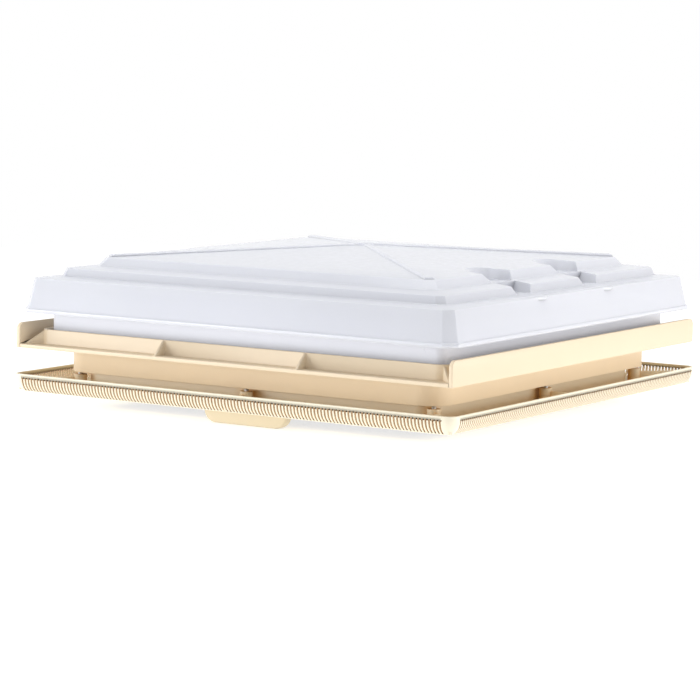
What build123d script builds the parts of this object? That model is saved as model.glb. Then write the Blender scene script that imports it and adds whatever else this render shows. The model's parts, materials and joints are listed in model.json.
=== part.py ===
from build123d import *
import math
import os

# Caravan roof vent: a frame clamped into a square roof cut-out, a double-skin dome that
# lifts on two pairs of scissor arms, and a hinged fly screen under the inner trim.
# Lengths are millimetres and +Z is up. The origin is the centre of the roof cut-out on the
# underside of the outer flange, the face that lies on the roof. The pull tab is on the -Y side.

os.makedirs("parts", exist_ok=True)

# Driving dimensions
roof_opening = 400.0
neck_clearance = 2.5
neck_depth = 21.7
neck_wall = 3.0
neck_corner = 24.0
flange_half = 227.0
flange_thickness = 3.3
flange_corner = 5.0
upstand_half = 213.0
upstand_height = 16.5
upstand_wall = 3.0
upstand_corner = 12.0
board_height = 22.3
board_thickness = 3.6
board_corner = 6.0
lift_travel = 60.0

# General values
seat_gap = 0.3
running_gap = 0.05
least_corner = 1.0
overrun = 5.0
sides = (-1, 1)

# Outer frame details
gusset_thickness = 2.4
gusset_place = 74.0
board_web_place = 150.0
shelf_half_length = 150.0
shelf_thickness = 3.0
boss_radius = 5.8
boss_corner_place = 186.0

# Screws that clamp the inner trim to the outer frame
screw_radius = 2.0
screw_head_radius = 3.7
screw_head_height = 2.4
screw_length = 28.0
screw_socket_radius = 1.2
screw_socket_depth = 1.4
cap_radius = 4.1
cap_clearance = 0.1
cap_thickness = 2.4

# Inner trim
trim_half = 230.5
trim_corner = 10.5
trim_rim_height = 3.2
trim_rim_gap = 1.7
trim_depth = 16.6
trim_curve = 10.2
trim_wall = 2.2
trim_floor = 2.5
trim_bands = 3
collar_half = 184.5
collar_wall = 2.5
collar_corner = 18.0
collar_top = -1.0
post_height = 13.0
post_rib_width = 3.0
post_rib_height = 10.0
slot_width = 1.5
slot_pitch = 3.4
slot_corner_margin = 10.8
slot_rim_margin = 3.3
slot_floor_margin = 0.9

# Dome outer shell
shell_wall = 2.5
skirt_bottom = 32.0
skirt_lip_height = 3.3
skirt_lip = 1.2
skirt_base_half = 224.8
skirt_top = 62.8
skirt_top_half = 219.0
tier_two_foot = 64.4
tier_two_foot_half = 201.0
tier_two_top = 71.7
tier_two_top_half = 198.0
tier_three_foot = 73.8
tier_three_foot_half = 179.0
tier_three_top = 81.6
tier_three_top_half = 173.0
pyramid_rise = 11.4
pyramid_cap_half = 3.0
edge_softness = 1.4
skirt_corner = 9.0
tier_two_corner = 6.0
tier_three_corner = 8.0
ridge_width = 11.0
ridge_height = 1.4
ridge_sink = 2.0

# Scoops moulded into the side of the dome that faces +X
scoop_place = 62.0
scoop_half_width = 18.0
scoop_reach = 37.0
scoop_draft = 30.0
channel_half_width = 13.0
channel_reach = 20.0
channel_draft = 32.0
spout_radius = 10.0
spout_overhang = 2.6
spout_height = 3.8
spout_drop = 0.6

# Dome liner, the inner skin
liner_half = 206.0
liner_wall = 2.5
liner_corner = 9.0
liner_bottom = 10.0
liner_top = 57.5
liner_flange_half = 213.5
bond_rib_half = 211.0
bond_rib_width = 3.0
liner_boss_radius = 4.0
liner_boss_height = 5.5

# Seal on the frame's ledge, under the liner's edge
seal_bulb_radius = 3.0
seal_bore_radius = 2.1
seal_base_width = 8.0
seal_base_height = 1.5

# Scissor arms: pivots, layers and rails
arm_length = 240.0
arm_width = 10.0
arm_thickness = 2.5
arm_pivot_place = 120.0
arm_rest_rise = 20.0
pivot_above_flange = 8.7
pin_radius = 2.0
pin_head_radius = 3.4
pin_head_height = 1.4
pin_washer_radius = 3.8
pin_washer_height = 1.2
slider_clearance = 0.45
slot_end_room = 0.8
rail_wall = 2.5
layer_gap = 0.5
arm_gap = 0.6
rail_half_length = 140.0
frame_rail_outer = 194.5
frame_rail_foot = 11.0
frame_rail_foot_height = 2.0
frame_rail_height = 14.7
frame_rail_screw_place = 133.0
dome_rail_foot = 17.0
dome_rail_drop = 29.0
dome_rail_screw_inset = 9.5
dome_rail_screw_place = 110.0
rail_screw_radius = 1.6
rail_screw_head_radius = 2.7
rail_screw_head_height = 1.8
rail_screw_length = 8.0
rail_boss_radius = 2.9
rail_boss_drop = 6.5

# Handles that raise and lower the dome
handle_place = 170.0
handle_pivot_drop = 11.0
handle_thickness = 5.0
handle_top_half_width = 32.0
handle_bottom_half_width = 44.0
handle_length = 72.0
handle_corner = 9.0
handle_barrel_radius = 5.0
handle_window_width = 56.0
handle_window_height = 20.0
handle_window_rise = 20.0
handle_nose_drop = 53.0
handle_nose_height = 5.0
handle_nose_half_width = 4.5
handle_nose_place = 34.5
handle_ear_thickness = 3.0
handle_ear_gap = 0.5
handle_ear_radius = 6.0
handle_base_half_depth = 9.0
handle_base_height = 2.5
handle_base_margin = 8.0
handle_screw_place = 22.0
keeper_half_width = 42.0
keeper_thickness = 2.5
keeper_height = 12.0
keeper_drop = 13.0
nose_gap = 0.5

# Fly screen
screen_half = 190.0
screen_inner_half = 172.0
screen_thickness = 3.0
screen_corner = 20.0
screen_lip_half = 178.0
screen_lip_wall = 2.0
screen_lip_height = 7.0
screen_nib_radius = 1.2
screen_nib_length = 16.0
screen_nib_place = 60.0
tab_half_width = 43.5
tab_front = 194.5
tab_thickness = 10.0
tab_drop = 14.5
tab_corner = 12.0
tab_edge = 2.0
hinge_place = 197.0
hinge_radius = 2.6
hinge_pin_radius = 1.5
hinge_spread = 120.0
hinge_ear_width = 16.0
hinge_lug_width = 4.0
hinge_lug_gap = 0.4
net_thickness = 0.6
net_margin = 0.5
bead_width = 2.4
bead_height = 2.2

# Places worked out from the sizes above
neck_half = roof_opening / 2 - neck_clearance
neck_inner_half = neck_half - neck_wall
boss_side_place = neck_half - boss_radius
trim_rim_top = -neck_depth - trim_rim_gap
trim_bottom = trim_rim_top - trim_depth
trim_floor_top = trim_bottom + trim_floor
post_top = trim_floor_top + post_height
collar_inner_half = collar_half - collar_wall
dome_ceiling = liner_top - liner_wall
frame_pivot_height = flange_thickness + pivot_above_flange
dome_pivot_height = frame_pivot_height + arm_rest_rise
frame_web_inner = frame_rail_outer - rail_wall
frame_arm_inner = frame_web_inner - layer_gap - arm_thickness
dome_arm_inner = frame_arm_inner - arm_gap - arm_thickness
dome_web_inner = dome_arm_inner - layer_gap - rail_wall
rest_angle = math.degrees(math.asin(arm_rest_rise / arm_length))
raised_angle = math.degrees(math.asin((arm_rest_rise + lift_travel) / arm_length))
slider_far = arm_length * math.cos(math.radians(rest_angle)) - arm_pivot_place
slider_near = arm_length * math.cos(math.radians(raised_angle)) - arm_pivot_place
screen_top = trim_bottom - seat_gap
screen_bottom = screen_top - screen_thickness
hinge_height = screen_top - hinge_radius
post_places = [(x * boss_corner_place, y * boss_corner_place) for x in sides for y in sides]
post_places += [(x * boss_side_place, 0) for x in sides] + [(0, y * boss_side_place) for y in sides]


def finish(part, name):
    """Labels a finished piece and writes it to its STEP file."""
    part.label = name
    export_step(part, f"parts/{name}.step", write_pcurves=False)


def square(half, corner, height):
    """A filled square with rounded corners, lying at a height."""
    with BuildSketch(Plane.XY.offset(height)) as outline:
        RectangleRounded(2 * half, 2 * half, corner)
    return outline.sketch


def square_ring(outer, inner, corner, height):
    """A square ring with rounded corners, lying at a height."""
    with BuildSketch(Plane.XY.offset(height)) as ring:
        RectangleRounded(2 * outer, 2 * outer, corner)
        inner_corner = max(corner - outer + inner, least_corner)
        RectangleRounded(2 * inner, 2 * inner, inner_corner, mode=Mode.SUBTRACT)
    return ring.sketch


def inset(profile, wall):
    """Moves a profile of (half width, height) points inwards by a wall thickness."""
    normals = []
    for start, end in zip(profile, profile[1:]):
        run, rise = end[0] - start[0], end[1] - start[1]
        length = math.hypot(run, rise)
        normals.append((-rise / length, run / length))
    moved = []
    for index, (half, height) in enumerate(profile):
        before = normals[max(index - 1, 0)]
        after = normals[min(index, len(normals) - 1)]
        share = wall / (1 + before[0] * after[0] + before[1] * after[1])
        moved.append((half + share * (before[0] + after[0]), height + share * (before[1] + after[1])))
    return moved


def soften(profile, softness):
    """Cuts each outward corner of a profile back by the softness, along both of its edges."""
    points = [profile[0]]
    for before, here, after in zip(profile, profile[1:], profile[2:]):
        turn = (here[0] - before[0]) * (after[1] - here[1]) - (here[1] - before[1]) * (after[0] - here[0])
        if turn <= 0:
            points.append(here)
            continue
        for end in (before, after):
            share = softness / math.dist(here, end)
            points.append((here[0] + share * (end[0] - here[0]), here[1] + share * (end[1] - here[1])))
    return points + [profile[-1]]


def stack(profile, corners):
    """Square sections with rounded corners at each point of a profile."""
    return [
        square(half, max(corner, least_corner), height)
        for (half, height), corner in zip(profile, corners)
    ]


# Outer frame: flange, upstand, deflector boards, gussets, neck, ledges and screw bosses
with BuildPart() as outer_frame:
    extrude(square(flange_half, flange_corner, 0), amount=flange_thickness)
    extrude(square_ring(upstand_half, upstand_half - upstand_wall, upstand_corner, 0), amount=upstand_height)
    for side in sides:
        with BuildSketch(Plane.YZ.offset(side * flange_half)):
            with Locations((0, board_height / 2)):
                Rectangle(2 * flange_half, board_height)
        extrude(amount=-side * board_thickness)
    board_tops = outer_frame.edges().filter_by(Axis.X).filter_by(
        lambda edge: abs(edge.center().Z - board_height) < seat_gap
    )
    fillet(board_tops, board_corner)
    # Gussets along the two sides that carry no board
    for side in sides:
        for place in (-gusset_place, gusset_place):
            with BuildSketch(Plane.YZ.offset(place)):
                with BuildLine():
                    Polyline(
                        (side * (upstand_half - upstand_wall / 2), flange_thickness),
                        (side * flange_half, flange_thickness),
                        (side * upstand_half, upstand_height),
                        (side * (upstand_half - upstand_wall / 2), upstand_height),
                        close=True,
                    )
                make_face()
            extrude(amount=gusset_thickness / 2, both=True)
    # Gussets from the upstand's corners to the flange's corners
    for quarter in range(4):
        diagonal = Plane.XZ.rotated((0, 0, 45 + 90 * quarter))
        corner_reach = (flange_half - flange_corner) * math.sqrt(2)
        upstand_reach = (upstand_half - upstand_wall) * math.sqrt(2) - upstand_wall
        with BuildSketch(diagonal):
            with BuildLine():
                Polyline(
                    (upstand_reach, flange_thickness),
                    (corner_reach, flange_thickness),
                    (upstand_reach, upstand_height),
                    close=True,
                )
            make_face()
        extrude(amount=gusset_thickness / 2, both=True)
    # Webs that brace the boards from behind
    for side in sides:
        for place in (-board_web_place, 0, board_web_place):
            with BuildSketch(Plane.XZ.offset(-place)):
                with BuildLine():
                    Polyline(
                        (side * (upstand_half - upstand_wall / 2), flange_thickness),
                        (side * (flange_half - board_thickness / 2), flange_thickness),
                        (side * (flange_half - board_thickness / 2), upstand_height),
                        (side * (upstand_half - upstand_wall / 2), upstand_height),
                        close=True,
                    )
                make_face()
            extrude(amount=gusset_thickness / 2, both=True)
    extrude(square(neck_half, neck_corner, -neck_depth), amount=neck_depth)
    extrude(
        square(neck_inner_half, neck_corner - neck_wall, -neck_depth - overrun),
        amount=neck_depth + flange_thickness + 2 * overrun,
        mode=Mode.SUBTRACT,
    )
    # Ledges inside the neck that carry the arm rails, with a boss under each rail screw
    ledge_width = neck_half - frame_rail_outer + frame_rail_foot
    for side in sides:
        with BuildSketch(Plane.XY.offset(flange_thickness)):
            with Locations((side * (neck_half - ledge_width / 2), 0)):
                Rectangle(ledge_width, 2 * shelf_half_length)
        extrude(amount=-shelf_thickness)
        with BuildSketch(Plane.XY.offset(flange_thickness)):
            for place in (-frame_rail_screw_place, frame_rail_screw_place):
                with Locations((side * (frame_web_inner - rail_screw_head_radius - layer_gap), place)):
                    Circle(rail_boss_radius)
        extrude(amount=-rail_boss_drop)
    # Bosses for the clamping screws
    with BuildSketch(Plane.XY.offset(-neck_depth)):
        with Locations(*post_places):
            Circle(boss_radius)
    extrude(amount=neck_depth + flange_thickness)
    with BuildSketch(Plane.XY.offset(-neck_depth)):
        with Locations(*post_places):
            Circle(screw_radius + running_gap)
    extrude(amount=neck_depth - flange_thickness, mode=Mode.SUBTRACT)
    with BuildSketch(Plane.XY.offset(flange_thickness)):
        for side in sides:
            for place in (-frame_rail_screw_place, frame_rail_screw_place):
                with Locations((side * (frame_web_inner - rail_screw_head_radius - layer_gap), place)):
                    Circle(rail_screw_radius + running_gap)
    extrude(amount=-rail_boss_drop, mode=Mode.SUBTRACT)
finish(outer_frame.part, "outer_frame")

# Seal: a hollow bulb on a flat base, run round the frame's ledge
seal_half = liner_half - liner_wall / 2
seal_corner = liner_corner - liner_wall / 2
seal_bulb_height = liner_bottom - seat_gap - seal_bulb_radius
with BuildPart() as dome_seal:
    with BuildLine(Plane.XY.offset(seal_bulb_height)) as seal_path:
        add(square(seal_half, seal_corner, seal_bulb_height).face().outer_wire())
    seal_start = Plane(origin=seal_path.wire() @ 0, z_dir=seal_path.wire() % 0)
    with BuildSketch(seal_start):
        Circle(seal_bulb_radius)
        Circle(seal_bore_radius, mode=Mode.SUBTRACT)
    sweep(path=seal_path.wire())
    extrude(
        square_ring(
            seal_half + seal_base_width / 2,
            seal_half - seal_base_width / 2,
            seal_corner + seal_base_width / 2,
            flange_thickness,
        ),
        amount=seal_base_height,
    )
finish(dome_seal.part, "dome_seal")

# Inner trim: a shallow tray whose curved outer wall is cut into ventilation slots
trim_profile = [(trim_half - trim_curve - trim_wall, trim_bottom)]
for band in range(trim_bands + 1):
    turn = math.radians(90 * band / trim_bands)
    trim_profile.append((
        trim_half - trim_curve * (1 - math.sin(turn)),
        trim_rim_top - trim_rim_height - (trim_depth - trim_rim_height) * math.cos(turn),
    ))
trim_profile.append((trim_half, trim_rim_top))
trim_outer_profile = trim_profile[1:]
trim_inner_profile = inset(trim_profile, trim_wall)[1:]
trim_inner_profile[0] = (trim_inner_profile[0][0], trim_floor_top)
trim_inner_profile[-1] = (trim_half - trim_wall, trim_rim_top + overrun)
slot_straight = trim_half - slot_corner_margin
slot_count = 2 * int(slot_straight / slot_pitch) + 1
slot_low = trim_bottom + slot_floor_margin
slot_high = trim_rim_top - slot_rim_margin
with BuildPart() as trim_cavity:
    inner_corners = [trim_corner - trim_half + half for half, height in trim_inner_profile]
    loft(sections=stack(trim_inner_profile, inner_corners), ruled=True)
with BuildPart() as inner_trim:
    outer_corners = [trim_corner - trim_half + half for half, height in trim_outer_profile]
    loft(sections=stack(trim_outer_profile, outer_corners), ruled=True)
    add(trim_cavity.part, mode=Mode.SUBTRACT)
    # Collar inside the neck, and the opening through the floor
    extrude(square(collar_half, collar_corner, trim_bottom), amount=collar_top - trim_bottom)
    extrude(
        square(collar_inner_half, collar_corner - collar_wall, trim_bottom - overrun),
        amount=collar_top - trim_bottom + 2 * overrun,
        mode=Mode.SUBTRACT,
    )
    # Posts for the clamping screws, each with a rib out to the slotted wall
    with BuildSketch(Plane.XY.offset(trim_bottom)):
        with Locations(*post_places):
            Circle(boss_radius)
    extrude(amount=post_top - trim_bottom)
    with BuildSketch(Plane.XY.offset(trim_floor_top)):
        for x, y in post_places:
            heading = math.degrees(math.atan2(y, x))
            reach = (trim_half - trim_wall - trim_curve / 2) / max(abs(x), abs(y)) * math.hypot(x, y)
            length = reach - math.hypot(x, y)
            with Locations(Location((x, y, 0), (0, 0, heading))):
                with Locations((length / 2, 0)):
                    Rectangle(length, post_rib_width)
    extrude(amount=post_rib_height)
    with BuildSketch(Plane.XY.offset(trim_bottom)):
        with Locations(*post_places):
            Circle(screw_radius + seat_gap)
    extrude(amount=post_top - trim_bottom, mode=Mode.SUBTRACT)
    with BuildSketch(Plane.XY.offset(trim_bottom)):
        with Locations(*post_places):
            Circle(cap_radius + cap_clearance)
    extrude(amount=cap_thickness + seat_gap + screw_head_height, mode=Mode.SUBTRACT)
    # Lugs that carry the fly screen's hinge pins
    for side in sides:
        for offset in (-1, 1):
            lug_centre = side * hinge_spread + offset * (
                hinge_ear_width / 2 + hinge_lug_gap + hinge_lug_width / 2
            )
            with BuildSketch(Plane.YZ.offset(lug_centre)):
                with Locations((hinge_place, hinge_height)):
                    Circle(hinge_radius)
                with Locations((hinge_place, (hinge_height + trim_floor_top) / 2)):
                    Rectangle(2 * hinge_radius, trim_floor_top - hinge_height)
            extrude(amount=hinge_lug_width / 2, both=True)
            with BuildSketch(Plane.YZ.offset(lug_centre)):
                with Locations((hinge_place, hinge_height)):
                    Circle(hinge_pin_radius + running_gap)
            extrude(amount=hinge_lug_width / 2 + running_gap, both=True, mode=Mode.SUBTRACT)
    # Ventilation slots through the curved wall, all round
    slot_planes = [
        Plane.XZ.rotated((0, 0, 90 * quarter)).offset(trim_half - trim_curve) for quarter in range(4)
    ]
    with BuildSketch(*slot_planes):
        with Locations((0, (slot_low + slot_high) / 2)):
            with GridLocations(slot_pitch, 0, slot_count, 1):
                Rectangle(slot_width, slot_high - slot_low)
    extrude(amount=trim_curve + overrun, mode=Mode.SUBTRACT, clean=False)
finish(inner_trim.part, "inner_trim")

# Screws that clamp the inner trim to the outer frame, and the caps that cover their heads
head_seat = trim_bottom + cap_thickness + seat_gap + screw_head_height
with BuildPart() as trim_screws:
    with BuildSketch(Plane.XY.offset(head_seat)):
        with Locations(*post_places):
            Circle(screw_radius)
    extrude(amount=screw_length)
    with BuildSketch(Plane.XY.offset(head_seat)):
        with Locations(*post_places):
            Circle(screw_head_radius)
    extrude(amount=-screw_head_height)
    with BuildSketch(Plane.XY.offset(head_seat - screw_head_height)):
        with Locations(*post_places):
            RegularPolygon(screw_socket_radius, 6)
    extrude(amount=screw_socket_depth, mode=Mode.SUBTRACT)
finish(trim_screws.part, "trim_screws")

with BuildPart() as screw_caps:
    with BuildSketch(Plane.XY.offset(trim_bottom)):
        with Locations(*post_places):
            Circle(cap_radius)
    extrude(amount=cap_thickness)
finish(screw_caps.part, "screw_caps")


def scoop_cutter(place, growth):
    """A rounded scoop cut into the third tier, grown by the wall for the shell's inner face."""
    tip = tier_three_top_half - scoop_reach
    half_width = scoop_half_width + growth
    with BuildPart() as scoop:
        with BuildSketch(Plane.XY.offset(tier_three_foot - growth)):
            with Locations((tip + half_width - growth, place)):
                Circle(half_width)
            with Locations(((tip + half_width - growth + tier_two_foot_half) / 2, place)):
                Rectangle(tier_two_foot_half - tip - half_width + growth, 2 * half_width)
        extrude(amount=pyramid_rise + tier_three_top - tier_three_foot, taper=-scoop_draft)
    return scoop.part


def channel_cutter(place, growth):
    """A channel through the second tier, below a scoop."""
    back = tier_two_foot_half - channel_reach - growth
    front = skirt_top_half
    foot = tier_two_foot - growth
    with BuildPart() as channel:
        with BuildSketch(Plane.XY.offset(foot)):
            with Locations(((back + front) / 2, place)):
                Rectangle(front - back, 2 * (channel_half_width + growth))
        extrude(amount=tier_three_foot - foot, taper=-channel_draft)
        split(bisect_by=Plane.YZ.offset(back), keep=Keep.TOP)
    return channel.part


# Dome outer shell: skirt, two tiers and a low four-sided pyramid with ribs on its ridges
shell_profile = [
    (skirt_base_half + skirt_lip, skirt_bottom),
    (skirt_base_half + skirt_lip, skirt_bottom + skirt_lip_height),
    (skirt_base_half, skirt_bottom + skirt_lip_height + skirt_lip / 2),
    (skirt_top_half, skirt_top),
    (tier_two_foot_half, tier_two_foot),
    (tier_two_top_half, tier_two_top),
    (tier_three_foot_half, tier_three_foot),
    (tier_three_top_half, tier_three_top),
    (pyramid_cap_half, tier_three_top + pyramid_rise),
]
tier_limits = [(skirt_top, skirt_corner), (tier_two_top, tier_two_corner), (math.inf, tier_three_corner)]


def shell_corners(profile, wall):
    """The corner radius of each section, by the tier that it belongs to."""
    corners = []
    for half, height in profile:
        tier_corner = next(corner for limit, corner in tier_limits if height <= limit)
        corners.append(min(tier_corner - wall, half / 2))
    return corners


outer_profile = soften(shell_profile, edge_softness)
cavity_profile = inset(shell_profile, shell_wall)
cavity_profile[0] = (cavity_profile[1][0], skirt_bottom - overrun)
scoop_spots = [side * scoop_place for side in sides]
with BuildPart() as shell_cavity:
    loft(sections=stack(cavity_profile, shell_corners(cavity_profile, shell_wall)), ruled=True)
    for place in scoop_spots:
        add(scoop_cutter(place, shell_wall), mode=Mode.SUBTRACT)
        add(channel_cutter(place, shell_wall), mode=Mode.SUBTRACT)
with BuildPart() as dome_shell:
    loft(sections=stack(outer_profile, shell_corners(outer_profile, 0)), ruled=True)
    # A bead along each ridge of the pyramid
    ridge_fall = math.atan2(pyramid_rise, tier_three_top_half * math.sqrt(2))
    ridge_length = tier_three_top_half * math.sqrt(2) - tier_three_corner
    for quarter in range(4):
        heading = Vector(1, 0, 0).rotate(Axis.Z, 45 + 90 * quarter)
        ridge = Plane(
            origin=(0, 0, tier_three_top + pyramid_rise),
            x_dir=heading * math.cos(ridge_fall) - Vector(0, 0, 1) * math.sin(ridge_fall),
            z_dir=heading * math.sin(ridge_fall) + Vector(0, 0, 1) * math.cos(ridge_fall),
        )
        with BuildSketch(ridge.offset(-ridge_sink)):
            with Locations((ridge_length / 2, 0)):
                SlotOverall(ridge_length, ridge_width)
        extrude(amount=ridge_sink + ridge_height)
    with BuildSketch(Plane.XY.offset(tier_three_top + pyramid_rise - ridge_sink)):
        Circle(ridge_width)
    extrude(amount=ridge_sink + ridge_height, taper=scoop_draft)
    for place in scoop_spots:
        add(scoop_cutter(place, 0), mode=Mode.SUBTRACT)
        add(channel_cutter(place, 0), mode=Mode.SUBTRACT)
    # Half-round spouts on the skirt's top edge, below the channels
    with BuildSketch(Plane.XY.offset(skirt_top + spout_drop - spout_height)):
        for place in scoop_spots:
            with Locations((skirt_top_half + spout_overhang - spout_radius, place)):
                Circle(spout_radius)
    extrude(amount=spout_height)
    add(shell_cavity.part, mode=Mode.SUBTRACT)
    # Rib that the liner's flange is bonded to
    bond_corner = liner_corner + bond_rib_half - liner_half
    extrude(
        square_ring(bond_rib_half, bond_rib_half - bond_rib_width, bond_corner, liner_top),
        amount=skirt_top - shell_wall / 2 - liner_top,
    )
finish(dome_shell.part, "dome_shell")

# Screw places on the dome's rails and handle brackets
dome_rail_inner = dome_web_inner + rail_wall - dome_rail_foot
dome_rail_screw_x = dome_rail_inner + dome_rail_screw_inset - rail_screw_head_radius
dome_rail_screws_at = [
    (side * dome_rail_screw_x, place)
    for side in sides
    for place in (-dome_rail_screw_place, 0, dome_rail_screw_place)
]
bracket_screws_at = [
    (across * handle_screw_place, side * handle_place) for side in sides for across in sides
]

# Dome liner: a tray turned upside down, closed to the shell by its flange
with BuildPart() as dome_liner:
    extrude(square(liner_half, liner_corner, liner_bottom), amount=liner_top - liner_bottom)
    extrude(
        square(liner_half - liner_wall, liner_corner - liner_wall, liner_bottom - overrun),
        amount=dome_ceiling - liner_bottom + overrun,
        mode=Mode.SUBTRACT,
    )
    flange_corner_radius = liner_corner + liner_flange_half - liner_half
    extrude(
        square_ring(liner_flange_half, liner_half - liner_wall, flange_corner_radius, dome_ceiling),
        amount=liner_wall,
    )
    with BuildSketch(Plane.XY.offset(liner_top)):
        with Locations(*dome_rail_screws_at, *bracket_screws_at):
            Circle(liner_boss_radius)
    extrude(amount=liner_boss_height)
    with BuildSketch(Plane.XY.offset(dome_ceiling)):
        with Locations(*dome_rail_screws_at, *bracket_screws_at):
            Circle(rail_screw_radius + running_gap)
    extrude(amount=rail_screw_length, mode=Mode.SUBTRACT)
finish(dome_liner.part, "dome_liner")


def screws(places, seat, direction):
    """Pan-head screws whose heads sit on a height and whose shanks run along the direction."""
    with BuildPart() as group:
        with BuildSketch(Plane.XY.offset(seat)):
            with Locations(*places):
                Circle(rail_screw_head_radius)
        extrude(amount=-direction * rail_screw_head_height)
        with BuildSketch(Plane.XY.offset(seat)):
            with Locations(*places):
                Circle(rail_screw_radius)
        extrude(amount=direction * rail_screw_length)
    return group.part


def slot_hole(places, radius, x_low, depth):
    """A slot along Y, for a slider pin, cut along X through a rail's web."""
    near, far, height = places
    with BuildPart() as hole:
        with BuildSketch(Plane.YZ.offset(x_low)):
            with Locations(((near + far) / 2, height)):
                SlotOverall(far - near + 2 * radius, 2 * radius)
        extrude(amount=depth)
    return hole.part


slot_reach = (slider_near - slot_end_room, slider_far + slot_end_room)
slot_radius = pin_radius + slider_clearance
frame_rail_screw_x = frame_web_inner - rail_screw_head_radius - layer_gap
frame_rail_screws_at = [
    (side * frame_rail_screw_x, place)
    for side in sides
    for place in (-frame_rail_screw_place, frame_rail_screw_place)
]
finish(
    screws(frame_rail_screws_at, flange_thickness + frame_rail_foot_height, -1),
    "frame_rail_screws",
)
finish(screws(dome_rail_screws_at, dome_ceiling - frame_rail_foot_height, 1), "dome_rail_screws")


# Scissor pairs, one on each side that faces along X
for side, hand in zip(sides, ("left", "right")):
    # Rail on the frame's ledge: a foot, and an upright web with a pivot hole and a slot
    with BuildPart() as frame_rail:
        with BuildSketch(Plane.XZ.offset(-rail_half_length)):
            with BuildLine():
                Polyline(
                    (side * (frame_rail_outer - frame_rail_foot), flange_thickness),
                    (side * frame_rail_outer, flange_thickness),
                    (side * frame_rail_outer, flange_thickness + frame_rail_height),
                    (side * frame_web_inner, flange_thickness + frame_rail_height),
                    (side * frame_web_inner, flange_thickness + frame_rail_foot_height),
                    (side * (frame_rail_outer - frame_rail_foot), flange_thickness + frame_rail_foot_height),
                    close=True,
                )
            make_face()
        extrude(amount=2 * rail_half_length)
        with BuildSketch(Plane.YZ.offset(side * (frame_web_inner - layer_gap))):
            with Locations((-arm_pivot_place, frame_pivot_height)):
                Circle(pin_radius + running_gap)
        extrude(amount=side * (rail_wall + 2 * layer_gap), mode=Mode.SUBTRACT)
        slot_start = min(side * (frame_web_inner - layer_gap), side * (frame_rail_outer + layer_gap))
        add(
            slot_hole((*slot_reach, frame_pivot_height), slot_radius, slot_start, rail_wall + 2 * layer_gap),
            mode=Mode.SUBTRACT,
        )
        with BuildSketch(Plane.XY.offset(flange_thickness)):
            with Locations(*[(x, y) for x, y in frame_rail_screws_at if x * side > 0]):
                Circle(rail_screw_radius + running_gap)
        extrude(amount=frame_rail_foot_height, mode=Mode.SUBTRACT)
    finish(frame_rail.part, f"frame_rail_{hand}")

    # Rail under the dome's ceiling, its web hanging down beside the arms
    with BuildPart() as dome_rail:
        with BuildSketch(Plane.XZ.offset(-rail_half_length)):
            with BuildLine():
                Polyline(
                    (side * dome_rail_inner, dome_ceiling),
                    (side * (dome_web_inner + rail_wall), dome_ceiling),
                    (side * (dome_web_inner + rail_wall), dome_ceiling - dome_rail_drop),
                    (side * dome_web_inner, dome_ceiling - dome_rail_drop),
                    (side * dome_web_inner, dome_ceiling - frame_rail_foot_height),
                    (side * dome_rail_inner, dome_ceiling - frame_rail_foot_height),
                    close=True,
                )
            make_face()
        extrude(amount=2 * rail_half_length)
        with BuildSketch(Plane.YZ.offset(side * (dome_web_inner - layer_gap))):
            with Locations((-arm_pivot_place, dome_pivot_height)):
                Circle(pin_radius + running_gap)
        extrude(amount=side * (rail_wall + 2 * layer_gap), mode=Mode.SUBTRACT)
        slot_start = min(side * (dome_web_inner - layer_gap), side * (dome_web_inner + rail_wall + layer_gap))
        add(
            slot_hole((*slot_reach, dome_pivot_height), slot_radius, slot_start, rail_wall + 2 * layer_gap),
            mode=Mode.SUBTRACT,
        )
        with BuildSketch(Plane.XY.offset(dome_ceiling)):
            with Locations(*[(x, y) for x, y in dome_rail_screws_at if x * side > 0]):
                Circle(rail_screw_radius + running_gap)
        extrude(amount=-frame_rail_foot_height, mode=Mode.SUBTRACT)
    finish(dome_rail.part, f"dome_rail_{hand}")

    # The two arms cross at their middles, where a rivet joins them
    arms = (
        ("frame_arm", frame_arm_inner, frame_pivot_height, rest_angle, running_gap),
        ("dome_arm", dome_arm_inner, dome_pivot_height, -rest_angle, slider_clearance),
    )
    for arm_name, inner_face, pivot_height, slope, rivet_clearance in arms:
        arm_plane = Plane(
            origin=(side * inner_face, -arm_pivot_place, pivot_height), x_dir=(0, 1, 0), z_dir=(1, 0, 0)
        ).rotated((slope, 0, 0))
        with BuildPart() as arm:
            with BuildSketch(arm_plane):
                with Locations((arm_length / 2, 0)):
                    SlotCenterToCenter(arm_length, arm_width)
                with Locations((0, 0), (arm_length, 0)):
                    Circle(pin_radius + running_gap, mode=Mode.SUBTRACT)
                with Locations((arm_length / 2, 0)):
                    Circle(pin_radius + rivet_clearance, mode=Mode.SUBTRACT)
            extrude(amount=side * arm_thickness)
        finish(arm.part, f"{arm_name}_{hand}")

    # Pins: a head and a shank, and a washer on the far side of each slot
    slider_height = frame_pivot_height + arm_rest_rise
    middle_place = arm_length / 2 * math.cos(math.radians(rest_angle)) - arm_pivot_place
    middle_height = frame_pivot_height + arm_rest_rise / 2
    frame_arm_outer = frame_arm_inner + arm_thickness
    dome_arm_outer = dome_arm_inner + arm_thickness
    shank_room = layer_gap - 2 * running_gap
    frame_pivot_end = frame_arm_inner - shank_room
    dome_pivot_end = dome_arm_outer + shank_room
    inner_washer = dome_web_inner - layer_gap
    outer_washer = frame_rail_outer + layer_gap
    rivet_end = dome_arm_inner - running_gap
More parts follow.
